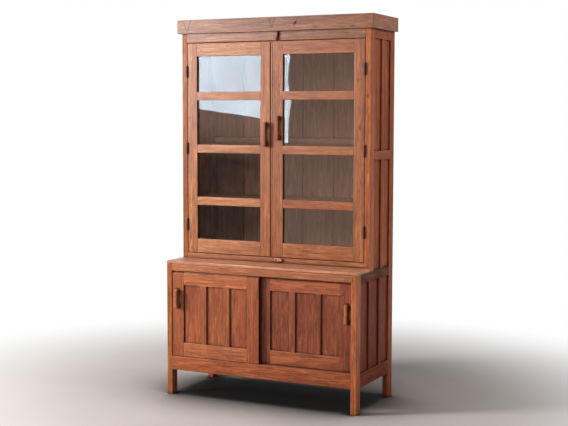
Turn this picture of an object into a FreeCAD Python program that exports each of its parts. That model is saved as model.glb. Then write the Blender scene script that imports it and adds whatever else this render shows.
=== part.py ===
import FreeCAD
import Part
import os
from FreeCAD import Rotation, Vector

# Glazed two-stage kitchen cupboard: a deep base with two sliding panelled doors, and a
# shallower upper cupboard with two hinged glazed doors. The rear posts run full height.
# Millimetres, +Z up, the front faces -Y, and the floor is at Z = 0.

# Overall sizes
body_width = 1068.0
body_depth = 486.0
total_height = 1950.0
counter_height = 702.0
counter_thickness = 15.0
upper_setback = 166.0

# Posts and the side frames
post_width = 30.0
post_depth = 50.0
rear_post_depth = 56.0
side_frame_thickness = 24.0
panel_recess = 8.0
panel_thickness = 6.0
groove_depth = 8.0
panel_slack = 1.0
belt_rail_height = 46.0
side_rail_bottom = 126.0
side_rail_height = 71.0
base_muntin_width = 29.0
base_panels_per_side = 3
upper_muntin_width = 27.0
upper_panels_per_side = 2
side_mid_rail_share = 0.479
side_mid_rail_height = 45.0

# Mortise and tenon joints
tenon_thickness = 9.0
tenon_length = 18.0
tenon_shoulder = 5.0
mortise_slack = 1.0

# Front rails of the base
front_rail_thickness = 24.0
front_bottom_rail_bottom = 130.0
front_bottom_rail_height = 73.0
front_top_rail_height = 36.0

# Sliding doors and their tracks
sliding_door_thickness = 20.0
front_door_setback = 4.0
door_plane_gap = 6.0
parting_strip_clearance = 1.0
parting_strip_drop = 8.0
door_head_gap = 10.5
door_foot_gap = 1.0
door_side_gap = 1.0
tongue_thickness = 8.0
head_bite = 4.5
lift_room = 7.5
tongue_down = 5.0
foot_play = 0.5
track_clearance = 0.5
track_depth = 34.0
top_track_thickness = 28.0
bottom_track_thickness = 23.0
sliding_overlap = 15.0
left_sliding_share = 0.4936
sliding_stile_width = 67.0
sliding_top_rail_height = 62.0
sliding_bottom_rail_height = 72.0
sliding_muntin_width = 35.0
sliding_panels = 3
sliding_panel_thickness = 5.0
sliding_groove_depth = 7.0
sliding_tenon_length = 40.0

# Upper cupboard front
upper_rail_thickness = 24.0
upper_bottom_rail_height = 27.0
upper_top_rail_height = 101.0
glazed_gap = 2.4
glazed_head_gap = 3.0
glazed_foot_gap = 3.0
meeting_gap = 3.0
meeting_offset = -13.0
glazed_thickness = 22.0
glazed_stile_width = 57.0
glazed_top_rail_height = 68.0
glazed_bottom_rail_height = 74.0
glazing_bar_height = 44.0
glazing_panes = 4
rebate_width = 7.0
rebate_lip = 10.0
glass_thickness = 3.0
bead_width = 7.0
bead_set_in = 1.0
glazed_tenon_length = 40.0
glazed_tenon_thickness = 7.0
bar_tenon_length = 24.0
edge_bead_width = 9.0
edge_bead_round_share = 0.39
quirk_width = 2.0
quirk_depth = 2.5

# Bar handles
handle_width = 13.0
handle_projection = 30.0
glazed_handle_length = 124.0
sliding_handle_length = 97.0
handle_bar_thickness = 15.0
handle_foot_length = 24.0
handle_corner_radius = 8.0
left_glazed_handle_share = 0.571
right_glazed_handle_share = 0.6
glazed_handle_inset = 14.0
left_sliding_handle_share = 0.694
right_sliding_handle_share = 0.656
left_sliding_handle_inset = 34.0
right_sliding_handle_inset = 29.0

# Butt hinges
hinge_length = 60.0
hinge_inset = 148.0
hinges_per_door = 3
leaf_width = 20.0
leaf_thickness = 1.8
leaf_play = 0.4
knuckle_radius = 4.0
knuckle_clearance = 0.4
knuckles_per_hinge = 3
knuckle_gap = 0.4
pin_radius = 2.0
running_clearance = 0.06
screws_per_leaf = 3
screw_head_radius = 3.0
screw_shank_radius = 1.5
screw_length = 15.0
screw_row_inset = 9.0
screw_end_inset = 10.0

# Turn buttons that hold the right glazed door
button_thickness = 12.0
button_spacer = 1.5
top_button_width = 13.0
top_button_pivot_share = 0.19
top_button_short_share = 0.92
top_button_long_share = 0.765
top_button_tilt = 6.0
top_button_x = 23.0
bottom_button_width_share = 0.667
bottom_button_short_share = 0.41
bottom_button_pivot_share = 0.63
bottom_button_long_arm = 34.0
bottom_button_x = 23.0
button_edge_chamfer = 2.0
button_screw_radius = 2.0
button_screw_head_radius = 4.5
button_screw_head_height = 2.4
button_screw_crown_share = 0.6
button_screw_grip = 16.0
button_washer_radius = 5.0
button_play = 0.3

# Crown, top board and the nails
crown_thickness = 18.0
crown_height = 70.0
top_board_thickness = 12.0
top_board_drop = 4.0
nail_shank_radius = 1.4
nail_head_radius = 3.1
nail_head_thickness = 1.0
nail_length = 34.0
nail_rise = 13.0
front_nail_shares = (0.016, 0.2, 0.282, 0.5, 0.718, 0.8, 0.984)
side_rail_nail_shares = (0.32, 0.68)
post_nail_share = 0.25
peg_radius = 3.0
peg_length = 26.0
peg_drop = 15.0

# Back, shelves, floor and cleats
back_board_thickness = 12.0
back_board_pitch = 178.0
back_board_chamfer = 2.5
back_rebate_width = 6.0
back_rail_thickness = 22.0
back_mid_rail_share = 0.5588
back_mid_rail_height = 72.0
back_top_rail_height = 70.0
shelf_thickness = 16.0
shelf_front_gap = 4.0
shelf_end_gap = 1.0
cleat_width = 14.0
cleat_height = 20.0
floor_thickness = 12.0
floor_drop = 6.0

# Flat sides of the small round pieces; the running bores are fully round, the nails square
screw_sides = 5
hinge_pin_sides = 6
barrel_sides = 8
nail_sides = 4
button_end_sides = 6

# Small wear and edge sizes
arris = 1.2
counter_edge_share = 0.25
overrun = 2.0

# Derived levels and planes
half_width = body_width / 2
inner_half_width = half_width - post_width
handle_overhang = max(handle_projection - front_door_setback, 0.0)
front_face = (handle_overhang - body_depth) / 2
rear_face = front_face + body_depth
upper_face = front_face + upper_setback
counter_underside = counter_height - counter_thickness
belt_rail_bottom = counter_underside - belt_rail_height
front_top_rail_bottom = counter_underside - front_top_rail_height
sill_top = front_bottom_rail_bottom + front_bottom_rail_height
side_rail_top = side_rail_bottom + side_rail_height
post_top = total_height - top_board_drop - top_board_thickness
upper_opening_top = post_top - upper_top_rail_height
side_mid_rail_rise = side_mid_rail_share * (upper_opening_top - counter_underside)
side_mid_rail_bottom = counter_underside + side_mid_rail_rise
side_mid_rail_top = side_mid_rail_bottom + side_mid_rail_height
back_mid_rail_top = counter_height + back_mid_rail_share * (upper_opening_top - counter_height)
crown_bottom = total_height - crown_height
upper_sill_top = counter_height + upper_bottom_rail_height
glazed_bottom = upper_sill_top + glazed_foot_gap
glazed_top = upper_opening_top - glazed_head_gap
glazed_back = upper_face + glazed_thickness
glazed_height = glazed_top - glazed_bottom
bead_depth = glazed_thickness - rebate_lip - glass_thickness - bead_set_in
edge_bead_radius = edge_bead_round_share * edge_bead_width
panel_outer_plane = half_width - panel_recess
panel_inner_plane = panel_outer_plane - panel_thickness
back_inner_face = rear_face - back_board_thickness
back_rail_face = back_inner_face - back_rail_thickness
tenon_inset = (front_rail_thickness - tenon_thickness) / 2
side_tenon_inset = (side_frame_thickness - tenon_thickness) / 2
side_tenon_shoulder = groove_depth + mortise_slack
side_start = front_face + post_depth
upper_side_start = upper_face + post_depth
side_end = rear_face - rear_post_depth
front_door_plane = front_face + front_door_setback
rear_door_plane = front_door_plane + sliding_door_thickness + door_plane_gap
tongue_inset = (sliding_door_thickness - tongue_thickness) / 2
tongue_up = door_head_gap + head_bite
top_groove_depth = head_bite + lift_room
bottom_groove_depth = tongue_down - door_foot_gap + foot_play
parting_strip_thickness = door_plane_gap - 2 * parting_strip_clearance
sliding_bottom = sill_top + door_foot_gap
sliding_top = front_top_rail_bottom - door_head_gap
sliding_height = sliding_top - sliding_bottom
sliding_run = 2 * (inner_half_width - door_side_gap) + sliding_overlap
left_sliding_width = left_sliding_share * sliding_run
right_sliding_width = sliding_run - left_sliding_width
track_start = front_face + front_rail_thickness
meeting_line = meeting_offset - meeting_gap / 2
left_door_start = -inner_half_width + glazed_gap
left_door_end = meeting_line - meeting_gap / 2
right_door_start = meeting_line + meeting_gap / 2
right_door_end = inner_half_width - glazed_gap
hinge_axis_x = inner_half_width - glazed_gap / 2
hinge_axis_y = upper_face - knuckle_radius - knuckle_clearance
leaf_gain = leaf_thickness - (glazed_gap - leaf_play) / 2
bar_pitch = glazed_height / glazing_panes
rail_show = crown_bottom - upper_opening_top
top_button_rise = top_button_pivot_share * rail_show
top_button_short_arm = top_button_short_share * (top_button_rise + glazed_head_gap)
top_button_long_arm = top_button_long_share * rail_show
bottom_button_width = bottom_button_width_share * upper_bottom_rail_height
bottom_button_short_arm = bottom_button_short_share * upper_bottom_rail_height
counter_edge_radius = counter_edge_share * counter_thickness


def box(x0, x1, y0, y1, z0, z1):
    """An upright block between two x, two y and two z planes."""
    corner = Vector(x0, y0, z0)
    return Part.makeBox(x1 - x0, y1 - y0, z1 - z0, corner)


def mirrored(shape):
    """The same shape on the other side of the cupboard."""
    return shape.mirror(Vector(0, 0, 0), Vector(1, 0, 0))


def both_sides(shapes):
    """A list of left-hand shapes with their right-hand copies."""
    return shapes + [mirrored(s) for s in shapes]


def long_edges(shape, axis):
    """The straight edges of a shape that run along one axis."""
    found = []
    for edge in shape.Edges:
        if len(edge.Vertexes) < 2:
            continue
        run = edge.Vertexes[1].Point - edge.Vertexes[0].Point
        along = abs(run.dot(axis))
        if along > run.Length * (1 - 1e-6) and run.Length > 0:
            found.append(edge)
    return found


def eased(shape, axis, outward=Vector(0, 0, 0)):
    """A block with its edges along one axis planed off, on its outward side if one is given."""
    edges = long_edges(shape, axis)
    reach = max(e.Vertexes[0].Point.dot(outward) for e in edges)
    shown = [e for e in edges if e.Vertexes[0].Point.dot(outward) > reach - arris]
    return shape.makeChamfer(arris, shown)


def many_sided(radius, sides, centre, direction):
    """A regular outline round a centre, square to one of the three axes."""
    arm = Vector(direction.y, direction.z, direction.x) * radius
    points = []
    for i in range(sides):
        turn = Rotation(direction, (i + 1 / 2) * 360 / sides)
        points.append(centre + turn.multVec(arm))
    return Part.makePolygon(points + [points[0]])


def rod(radius, sides, length, start, direction):
    """A slim straight rod, its radius measured to the corners."""
    outline = many_sided(radius, sides, start, direction)
    return Part.Face(outline).extrude(direction * length)


def tapered_rod(radius, end_radius, sides, length, start, direction):
    """A rod that narrows or widens evenly from one radius to another."""
    outlines = [
        many_sided(radius, sides, start, direction),
        many_sided(end_radius, sides, start + direction * length, direction),
    ]
    return Part.makeLoft(outlines, True, True)


def spaced(low, high, count):
    """Evenly spaced values from low to high; a single one lies in the middle."""
    if count < 2:
        return [(low + high) / 2]
    return [low + i * (high - low) / (count - 1) for i in range(count)]


X_AXIS = Vector(1, 0, 0)
Y_AXIS = Vector(0, 1, 0)
Z_AXIS = Vector(0, 0, 1)
FRONTWARD = Vector(0, -1, 0)
LEFTWARD = Vector(-1, 0, 0)


# Joint sockets in the posts: each is the tenon of a rail with a little slack at its end


def front_tenon(z0, z1, slack):
    """The left-hand tenon of a base front rail, between two levels."""
    y0 = front_face + tenon_inset
    x0 = -inner_half_width - tenon_length - slack
    return box(x0, -inner_half_width, y0, y0 + tenon_thickness, z0 + tenon_shoulder, z1 - tenon_shoulder)


def upper_front_tenon(z0, z1, slack):
    """The left-hand tenon of an upper front rail, between two levels."""
    y0 = upper_face + (upper_rail_thickness - tenon_thickness) / 2
    x0 = -inner_half_width - tenon_length - slack
    return box(x0, -inner_half_width, y0, y0 + tenon_thickness, z0 + tenon_shoulder, z1 - tenon_shoulder)


def side_tenon(y_from, direction, z0, z1, slack):
    """A tenon of a side rail of the left side, running along Y from a post's face."""
    x0 = -half_width + side_tenon_inset
    reach = y_from + direction * (tenon_length + slack)
    y0 = min(y_from, reach)
    y1 = max(y_from, reach)
    low = z0 + side_tenon_shoulder
    high = z1 - side_tenon_shoulder
    return box(x0, x0 + tenon_thickness, y0, y1, low, high)


def back_tenon(z0, z1, slack):
    """The left-hand tenon of a back rail, between two levels."""
    y0 = back_rail_face + (back_rail_thickness - tenon_thickness) / 2
    x0 = -inner_half_width - tenon_length - slack
    return box(x0, -inner_half_width, y0, y0 + tenon_thickness, z0 + tenon_shoulder, z1 - tenon_shoulder)


def side_groove(y0, y1, z0, z1):
    """The slot of the left side's panels between two y and two z planes."""
    return box(-panel_outer_plane, -panel_inner_plane, y0, y1, z0, z1)


def post_groove(y_from, direction, z0, z1):
    """The slot in a left post's face for panels that show between two levels."""
    reach = y_from + direction * groove_depth
    return side_groove(min(y_from, reach), max(y_from, reach), z0 - groove_depth, z1 + groove_depth)


def back_rail_levels():
    """The lower and upper level of each back rail, from the floor up."""
    return [
        (side_rail_bottom, side_rail_top),
        (belt_rail_bottom, counter_underside),
        (back_mid_rail_top - back_mid_rail_height, back_mid_rail_top),
        (post_top - back_top_rail_height, post_top),
    ]


def side_rail_levels():
    """The levels of the left side's rails that join the rear post."""
    return [
        (side_rail_bottom, side_rail_top),
        (belt_rail_bottom, counter_underside),
        (side_mid_rail_bottom, side_mid_rail_top),
        (upper_opening_top, post_top),
    ]


# Posts


def base_front_post():
    """Left front post of the base with its sockets and the side panel groove."""
    post = box(
        -half_width,
        -inner_half_width,
        front_face,
        front_face + post_depth,
        0,
        counter_underside,
    )
    post = eased(post, Z_AXIS)
    cuts = [
        front_tenon(front_bottom_rail_bottom, sill_top, mortise_slack),
        front_tenon(front_top_rail_bottom, counter_underside, mortise_slack),
        side_tenon(side_start, -1, side_rail_bottom, side_rail_top, mortise_slack),
        side_tenon(side_start, -1, belt_rail_bottom, counter_underside, mortise_slack),
        post_groove(side_start, -1, side_rail_top, belt_rail_bottom),
    ]
    return post.cut(cuts)


def rear_post():
    """Left rear post, full height, with sockets, panel grooves and the back rebate."""
    post = box(-half_width, -inner_half_width, side_end, rear_face, 0, post_top)
    post = eased(post, Z_AXIS)
    cuts = [side_tenon(side_end, 1, z0, z1, mortise_slack) for z0, z1 in side_rail_levels()]
    cuts += [back_tenon(z0, z1, mortise_slack) for z0, z1 in back_rail_levels()]
    cuts += [
        post_groove(side_end, 1, side_rail_top, belt_rail_bottom),
        post_groove(side_end, 1, counter_underside, side_mid_rail_bottom),
        post_groove(side_end, 1, side_mid_rail_top, upper_opening_top),
        box(
            -inner_half_width - back_rebate_width,
            -inner_half_width + overrun,
            back_inner_face,
            rear_face + overrun,
            side_rail_bottom,
            post_top + overrun,
        ),
    ]
    return post.cut(cuts + crown_nail_set())


def upper_post_foot(slack):
    """The stub tenon that stands the upper front post in the belt rail."""
    y0 = upper_face + tenon_length
    x0 = -half_width + side_tenon_inset
    return box(
        x0,
        x0 + tenon_thickness,
        y0,
        upper_side_start - groove_depth - tenon_shoulder,
        counter_underside - tenon_length / 2 - slack,
        counter_underside,
    )


def upper_front_post():
    """Left front post of the upper cupboard, with sockets, grooves and hinge gains."""
    post = box(
        -half_width,
        -inner_half_width,
        upper_face,
        upper_side_start,
        counter_underside,
        post_top,
    )
    post = eased(post, Z_AXIS)
    cuts = [
        upper_front_tenon(counter_height, upper_sill_top, mortise_slack),
        upper_front_tenon(upper_opening_top, post_top, mortise_slack),
        side_tenon(upper_side_start, -1, side_mid_rail_bottom, side_mid_rail_top, mortise_slack),
        side_tenon(upper_side_start, -1, upper_opening_top, post_top, mortise_slack),
        post_groove(upper_side_start, -1, counter_underside, side_mid_rail_bottom),
        post_groove(upper_side_start, -1, side_mid_rail_top, upper_opening_top),
    ]
    cuts += [post_leaf_gain(z) for z in hinge_levels()]
    cuts += [post_screw(z, s) for z in hinge_levels() for s in screw_levels()]
    cuts.append(peg(peg_radius))
    return post.cut(cuts + crown_nail_set()).fuse(upper_post_foot(0))


# Rails of the base front and the tracks of the sliding doors


def front_rail_blank(z0, z1):
    """A base front rail between the posts with its two tenons."""
    rail = box(
        -inner_half_width,
        inner_half_width,
        front_face,
        front_face + front_rail_thickness,
        z0,
        z1,
    )
    rail = eased(rail, X_AXIS, FRONTWARD)
    tenon = front_tenon(z0, z1, 0)
    return rail.fuse([tenon, mirrored(tenon)])


def track_groove(door_plane, z0, z1):
    """The groove that one sliding door's tongue runs in."""
    y0 = door_plane + tongue_inset - track_clearance
    y1 = door_plane + tongue_inset + tongue_thickness + track_clearance
    return box(-inner_half_width, inner_half_width, y0, y1, z0, z1)


def top_groove(door_plane):
    """The groove over a sliding door."""
    return track_groove(
        door_plane,
        front_top_rail_bottom - overrun,
        front_top_rail_bottom + top_groove_depth,
    )


def bottom_groove(door_plane):
    """The groove under a sliding door."""
    return track_groove(door_plane, sill_top - bottom_groove_depth, sill_top + overrun)


def base_front_top_rail():
    """Top front rail of the base, grooved below for the front sliding door."""
    rail = front_rail_blank(front_top_rail_bottom, counter_underside)
    return rail.cut(top_groove(front_door_plane))


def base_front_bottom_rail():
    """Bottom front rail of the base, grooved on top for the front sliding door."""
    rail = front_rail_blank(front_bottom_rail_bottom, sill_top)
    return rail.cut(bottom_groove(front_door_plane))


def sliding_door_tracks():
    """Grooved boards behind the front rails, and the strip between the two doors."""
    top = box(
        -inner_half_width,
        inner_half_width,
        track_start,
        track_start + track_depth,
        front_top_rail_bottom,
        front_top_rail_bottom + top_track_thickness,
    )
    bottom = box(
        -inner_half_width,
        inner_half_width,
        track_start,
        track_start + track_depth,
        sill_top - bottom_track_thickness,
        sill_top,
    )
    gap_middle = front_door_plane + sliding_door_thickness + door_plane_gap / 2
    strip = box(
        -inner_half_width,
        inner_half_width,
        gap_middle - parting_strip_thickness / 2,
        gap_middle + parting_strip_thickness / 2,
        front_top_rail_bottom - parting_strip_drop,
        front_top_rail_bottom,
    )
    top = top.cut(top_groove(rear_door_plane))
    bottom = bottom.cut(bottom_groove(rear_door_plane))
    return Part.makeCompound([top, bottom, strip])


# Sides


def side_rail(y0, y1, z0, z1, thickness):
    """A rail of the left side from post to post with a tenon at each end."""
    rail = box(-half_width, -half_width + thickness, y0, y1, z0, z1)
    rail = eased(rail, Y_AXIS, LEFTWARD)
    return rail.fuse([side_tenon(y0, -1, z0, z1, 0), side_tenon(y1, 1, z0, z1, 0)])


def belt_rail():
    """Left belt rail at counter level, grooved for the panels below and above it."""
    rail = side_rail(side_start, side_end, belt_rail_bottom, counter_underside, post_width)
    cuts = [
        side_groove(side_start, side_end, belt_rail_bottom - overrun, belt_rail_bottom + groove_depth),
        side_groove(
            upper_side_start - groove_depth,
            side_end,
            counter_underside - groove_depth,
            counter_underside + overrun,
        ),
        upper_post_foot(mortise_slack),
    ]
    return rail.cut(cuts)


def base_side_bottom_rail():
    """Left bottom side rail, grooved on top for the base panels."""
    rail = side_rail(side_start, side_end, side_rail_bottom, side_rail_top, side_frame_thickness)
    groove = side_groove(side_start, side_end, side_rail_top - groove_depth, side_rail_top + overrun)
    return rail.cut(groove)


def upper_side_mid_rail():
    """Left middle side rail of the upper cupboard, grooved above and below."""
    rail = side_rail(
        upper_side_start,
        side_end,
        side_mid_rail_bottom,
        side_mid_rail_top,
        side_frame_thickness,
    )
    cuts = [
        side_groove(
            upper_side_start,
            side_end,
            side_mid_rail_bottom - overrun,
            side_mid_rail_bottom + groove_depth,
        ),
        side_groove(
            upper_side_start,
            side_end,
            side_mid_rail_top - groove_depth,
            side_mid_rail_top + overrun,
        ),
    ]
    return rail.cut(cuts)


def upper_side_top_rail():
    """Left top side rail of the upper cupboard, grooved below."""
    rail = side_rail(upper_side_start, side_end, upper_opening_top, post_top, side_frame_thickness)
    groove = side_groove(
        upper_side_start,
        side_end,
        upper_opening_top - overrun,
        upper_opening_top + groove_depth,
    )
    return rail.cut([groove] + crown_nail_set())


def opening_width(y0, y1, count, muntin_width):
    """The clear width of each of several equal panel openings."""
    return (y1 - y0 - (count - 1) * muntin_width) / count


def side_muntins(y0, y1, z0, z1, count, muntin_width):
    """The muntins that divide one row of the left side's panels."""
    clear = opening_width(y0, y1, count, muntin_width)
    found = []
    for i in range(count - 1):
        start = y0 + (i + 1) * clear + i * muntin_width
        body = box(-half_width, -half_width + side_frame_thickness, start, start + muntin_width, z0, z1)
        body = eased(body, Z_AXIS, LEFTWARD)
        stub = side_groove(start, start + muntin_width, z0 - groove_depth, z1 + groove_depth)
        slots = [
            side_groove(start, start + groove_depth, z0 - groove_depth, z1 + groove_depth),
            side_groove(
                start + muntin_width - groove_depth,
                start + muntin_width,
                z0 - groove_depth,
                z1 + groove_depth,
            ),
        ]
        found.append(body.fuse(stub).cut(slots))
    return found


def side_panels(y0, y1, z0, z1, count, muntin_width):
    """One row of flat panels of the left side, let into the grooves all round."""
    clear = opening_width(y0, y1, count, muntin_width)
    bite = groove_depth - panel_slack
    found = []
    for i in range(count):
        start = y0 + i * (clear + muntin_width)
        found.append(side_groove(start - bite, start + clear + bite, z0 - bite, z1 + bite))
    return found


def base_row():
    """Where the base side's row of panels lies, and how it is divided."""
    return (
        side_start,
        side_end,
        side_rail_top,
        belt_rail_bottom,
        base_panels_per_side,
        base_muntin_width,
    )


def lower_upper_row():
    """Where the lower row of the upper side's panels lies, and how it is divided."""
    return (
        upper_side_start,
        side_end,
        counter_underside,
        side_mid_rail_bottom,
        upper_panels_per_side,
        upper_muntin_width,
    )


def top_upper_row():
    """Where the top row of the upper side's panels lies, and how it is divided."""
    return (
        upper_side_start,
        side_end,
        side_mid_rail_top,
        upper_opening_top,
        upper_panels_per_side,
        upper_muntin_width,
    )


def all_side_muntins():
    """Muntins of both sides."""
    found = []
    for row in (base_row(), lower_upper_row(), top_upper_row()):
        found += side_muntins(*row)
    return Part.makeCompound(both_sides(found))


def all_side_panels():
    """Panels of both sides."""
    found = []
    for row in (base_row(), lower_upper_row(), top_upper_row()):
        found += side_panels(*row)
    return Part.makeCompound(both_sides(found))


# Counter, floor, shelves and cleats


def counter_board():
    """The counter: full width in front, and notched round the upper posts behind."""
    front = box(
        -half_width,
        half_width,
        front_face,
        upper_face,
        counter_underside,
        counter_height,
    )
    edges = [e for e in long_edges(front, X_AXIS) if e.Vertexes[0].Point.y < upper_face - arris]
    front = front.makeFillet(counter_edge_radius, edges)
    rear = box(
        -panel_inner_plane,
        panel_inner_plane,
        upper_face,
        back_inner_face,
        counter_underside,
        counter_height,
    )
    notches = both_sides(
        [
            box(
                -half_width,
                -inner_half_width,
                upper_face,
                upper_side_start,
                counter_underside - overrun,
                counter_height + overrun,
            ),
            box(
                -half_width,
                -inner_half_width,
                side_end,
                rear_face,
                counter_underside - overrun,
                counter_height + overrun,
            ),
        ]
    )
    clear = opening_width(upper_side_start, side_end, upper_panels_per_side, upper_muntin_width)
    for i in range(upper_panels_per_side - 1):
        start = upper_side_start + (i + 1) * clear + i * upper_muntin_width
        notch = box(
            -half_width,
            -half_width + side_frame_thickness,
            start,
            start + upper_muntin_width,
            counter_underside - overrun,
            counter_height + overrun,
        )
        notches += both_sides([notch])
    return front.fuse(rear.cut(notches)).removeSplitter()


def shelf_tops():
    """The level of each shelf, at the top edge of a glazing bar."""
    levels = []
    for i in range(1, glazing_panes):
        levels.append(glazed_bottom + i * bar_pitch + glazing_bar_height / 2)
    return levels


def shelves():
    """The shelves of the upper cupboard, each on two cleats."""
    found = []
    for top in shelf_tops():
        found.append(
            box(
                -inner_half_width + shelf_end_gap,
                inner_half_width - shelf_end_gap,
                glazed_back + shelf_front_gap,
                back_rail_face,
                top - shelf_thickness,
                top,
            )
        )
    return Part.makeCompound(found)


def floor_top():
    """The level of the base's floor board."""
    return sill_top - floor_drop


def base_floor():
    """Floor board of the base, behind the bottom track."""
    return box(
        -inner_half_width + shelf_end_gap,
        inner_half_width - shelf_end_gap,
        track_start + track_depth,
        back_rail_face,
        floor_top() - floor_thickness,
        floor_top(),
    )


def cleats():
    """The battens that carry the shelves and the floor board."""
    found = []
    for top in shelf_tops():
        found.append(
            box(
                -inner_half_width,
                -inner_half_width + cleat_width,
                glazed_back + shelf_front_gap,
                back_rail_face,
                top - shelf_thickness - cleat_height,
                top - shelf_thickness,
            )
        )
    under_floor = floor_top() - floor_thickness
    found.append(
        box(
            -half_width + side_frame_thickness,
            -inner_half_width + cleat_width,
            track_start + track_depth,
            side_end,
            under_floor - cleat_height,
            under_floor,
        )
    )
    return Part.makeCompound(both_sides(found))


# Back


def back_rails():
    """The four rails that join the rear posts."""
    found = []
    for z0, z1 in back_rail_levels():
        rail = box(-inner_half_width, inner_half_width, back_rail_face, back_inner_face, z0, z1)
        tenon = back_tenon(z0, z1, 0)
        found.append(rail.fuse([tenon, mirrored(tenon)]))
    return Part.makeCompound(found)


def back_boards():
    """Full-height boards nailed over the back rails; the last one is cut to width."""
    start = -inner_half_width - back_rebate_width
    stop = inner_half_width + back_rebate_width
    count = max(round((stop - start) / back_board_pitch), 1)
    found = []
    for i in range(count):
        end = stop if i == count - 1 else start + back_board_pitch
        board = box(start, end, back_inner_face, rear_face, side_rail_bottom, post_top)
        edges = [e for e in long_edges(board, Z_AXIS) if e.Vertexes[0].Point.y < rear_face - arris]
        found.append(board.makeChamfer(back_board_chamfer, edges))
        start = end
    return Part.makeCompound(found)


# Upper front rails


def upper_front_rail(z0, z1):
    """An upper front rail between the upper posts with its two tenons."""
    rail = box(
        -inner_half_width,
        inner_half_width,
        upper_face,
        upper_face + upper_rail_thickness,
        z0,
        z1,
    )
    rail = eased(rail, X_AXIS, FRONTWARD)
    tenon = upper_front_tenon(z0, z1, 0)
    return rail.fuse([tenon, mirrored(tenon)])


def upper_front_top_rail():
    """Top front rail of the upper cupboard, drilled for the pegs and the button's screw."""
    rail = upper_front_rail(upper_opening_top, post_top)
    hole = button_hole(top_button_x, top_button_pivot())
    pegs = both_sides([peg(peg_radius)])
    return rail.cut(pegs + [hole] + crown_nail_set())


def upper_front_bottom_rail():
    """Thin bottom front rail of the upper cupboard on the counter."""
    rail = upper_front_rail(counter_height, upper_sill_top)
    return rail.cut(button_hole(bottom_button_x, bottom_button_pivot()))


def peg(radius):
    """The left peg through the joint of the top rail and the upper post."""
    start = Vector(
        -inner_half_width - tenon_length / 2,
        upper_face,
        upper_opening_top + peg_drop,
    )
    return rod(radius, barrel_sides, peg_length, start, Y_AXIS)


def rail_pegs():
    """The two wooden pegs of the upper top rail."""
    return Part.makeCompound(both_sides([peg(peg_radius)]))


# Crown and top board


def top_board():
    """Top board, laid on the posts and rails inside the crown."""
    return box(
        -half_width,
        half_width,
        upper_face,
        rear_face,
        post_top,
        post_top + top_board_thickness,
    )


def nail(start, direction):
    """A square cut nail with its head flush with the face it starts from."""
    shank = rod(nail_shank_radius, nail_sides, nail_length, start, direction)
    head = rod(nail_head_radius, nail_sides, nail_head_thickness, start, direction)
    return shank.fuse(head).removeSplitter()


def nail_level():
    """The height of the crown's nails."""
    return crown_bottom + nail_rise


def side_nail_places():
    """Where the crown's side nails lie: one in each post, the others in the rail."""
    run = side_end - upper_side_start
    front = upper_side_start - post_nail_share * post_depth
    rear = side_end + post_nail_share * rear_post_depth
    return [front] + [upper_side_start + share * run for share in side_rail_nail_shares] + [rear]


def crown_nail_set():
    """All nails of the crown."""
    found = []
    level = nail_level()
    for share in front_nail_shares:
        start = Vector(-half_width + share * body_width, upper_face - crown_thickness, level)
        found.append(nail(start, Y_AXIS))
    for y in side_nail_places():
        start = Vector(-half_width - crown_thickness, y, level)
        found += both_sides([nail(start, X_AXIS)])
    return found


def crown_boards():
    """Three flat boards round the top, mitred at the front corners."""
    z0 = crown_bottom
    outer_x = half_width + crown_thickness
    outer_y = upper_face - crown_thickness
    front_points = [
        Vector(-outer_x, outer_y, z0),
        Vector(outer_x, outer_y, z0),
        Vector(half_width, upper_face, z0),
        Vector(-half_width, upper_face, z0),
    ]
    side_points = [
        Vector(-outer_x, outer_y, z0),
        Vector(-half_width, upper_face, z0),
        Vector(-half_width, rear_face, z0),
        Vector(-outer_x, rear_face, z0),
    ]
    boards = []
    for points in (front_points, side_points):
        outline = Part.makePolygon(points + [points[0]])
        boards.append(Part.Face(outline).extrude(Vector(0, 0, crown_height)))
    boards.append(mirrored(boards[1]))
    nails = crown_nail_set()
    return Part.makeCompound([b.cut(nails) for b in boards])


# Butt hinges


def hinge_levels():
    """The middle height of each hinge, from the lowest up."""
    return spaced(glazed_bottom + hinge_inset, glazed_top - hinge_inset, hinges_per_door)


def screw_levels():
    """The heights of a leaf's screws about the hinge's middle."""
    reach = hinge_length / 2 - screw_end_inset
    return spaced(-reach, reach, screws_per_leaf)


def leaf_plate(x0, z):
    """The flat of a hinge leaf whose left face is at x0."""
    return box(
        x0,
        x0 + leaf_thickness,
        upper_face,
        upper_face + leaf_width,
        z - hinge_length / 2,
        z + hinge_length / 2,
    )


def post_leaf_x():
    """Left face of the leaf that is let into the left post."""
    return -inner_half_width - leaf_gain


def door_leaf_x():
    """Left face of the leaf that is let into the left door's edge."""
    return left_door_start + leaf_gain - leaf_thickness


def post_leaf_gain(z):
    """The shallow recess for a leaf in the left post."""
    return box(
        post_leaf_x(),
        -inner_half_width + overrun,
        upper_face - overrun,
        upper_face + leaf_width,
        z - hinge_length / 2,
        z + hinge_length / 2,
    )


def door_leaf_gain(z):
    """The shallow recess for a leaf in the left door's edge."""
    return box(
        left_door_start - overrun,
        left_door_start + leaf_gain,
        upper_face - overrun,
        upper_face + leaf_width,
        z - hinge_length / 2,
        z + hinge_length / 2,
    )


def knuckle_segments(z, own):
    """Bottom and top of each knuckle of one leaf: own 0 is the post's, 1 the door's."""
    pitch = hinge_length / knuckles_per_hinge
    found = []
    for i in range(own, knuckles_per_hinge, 2):
        bottom = z - hinge_length / 2 + i * pitch
        found.append((bottom + knuckle_gap / 2, bottom + pitch - knuckle_gap / 2))
    return found


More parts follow.
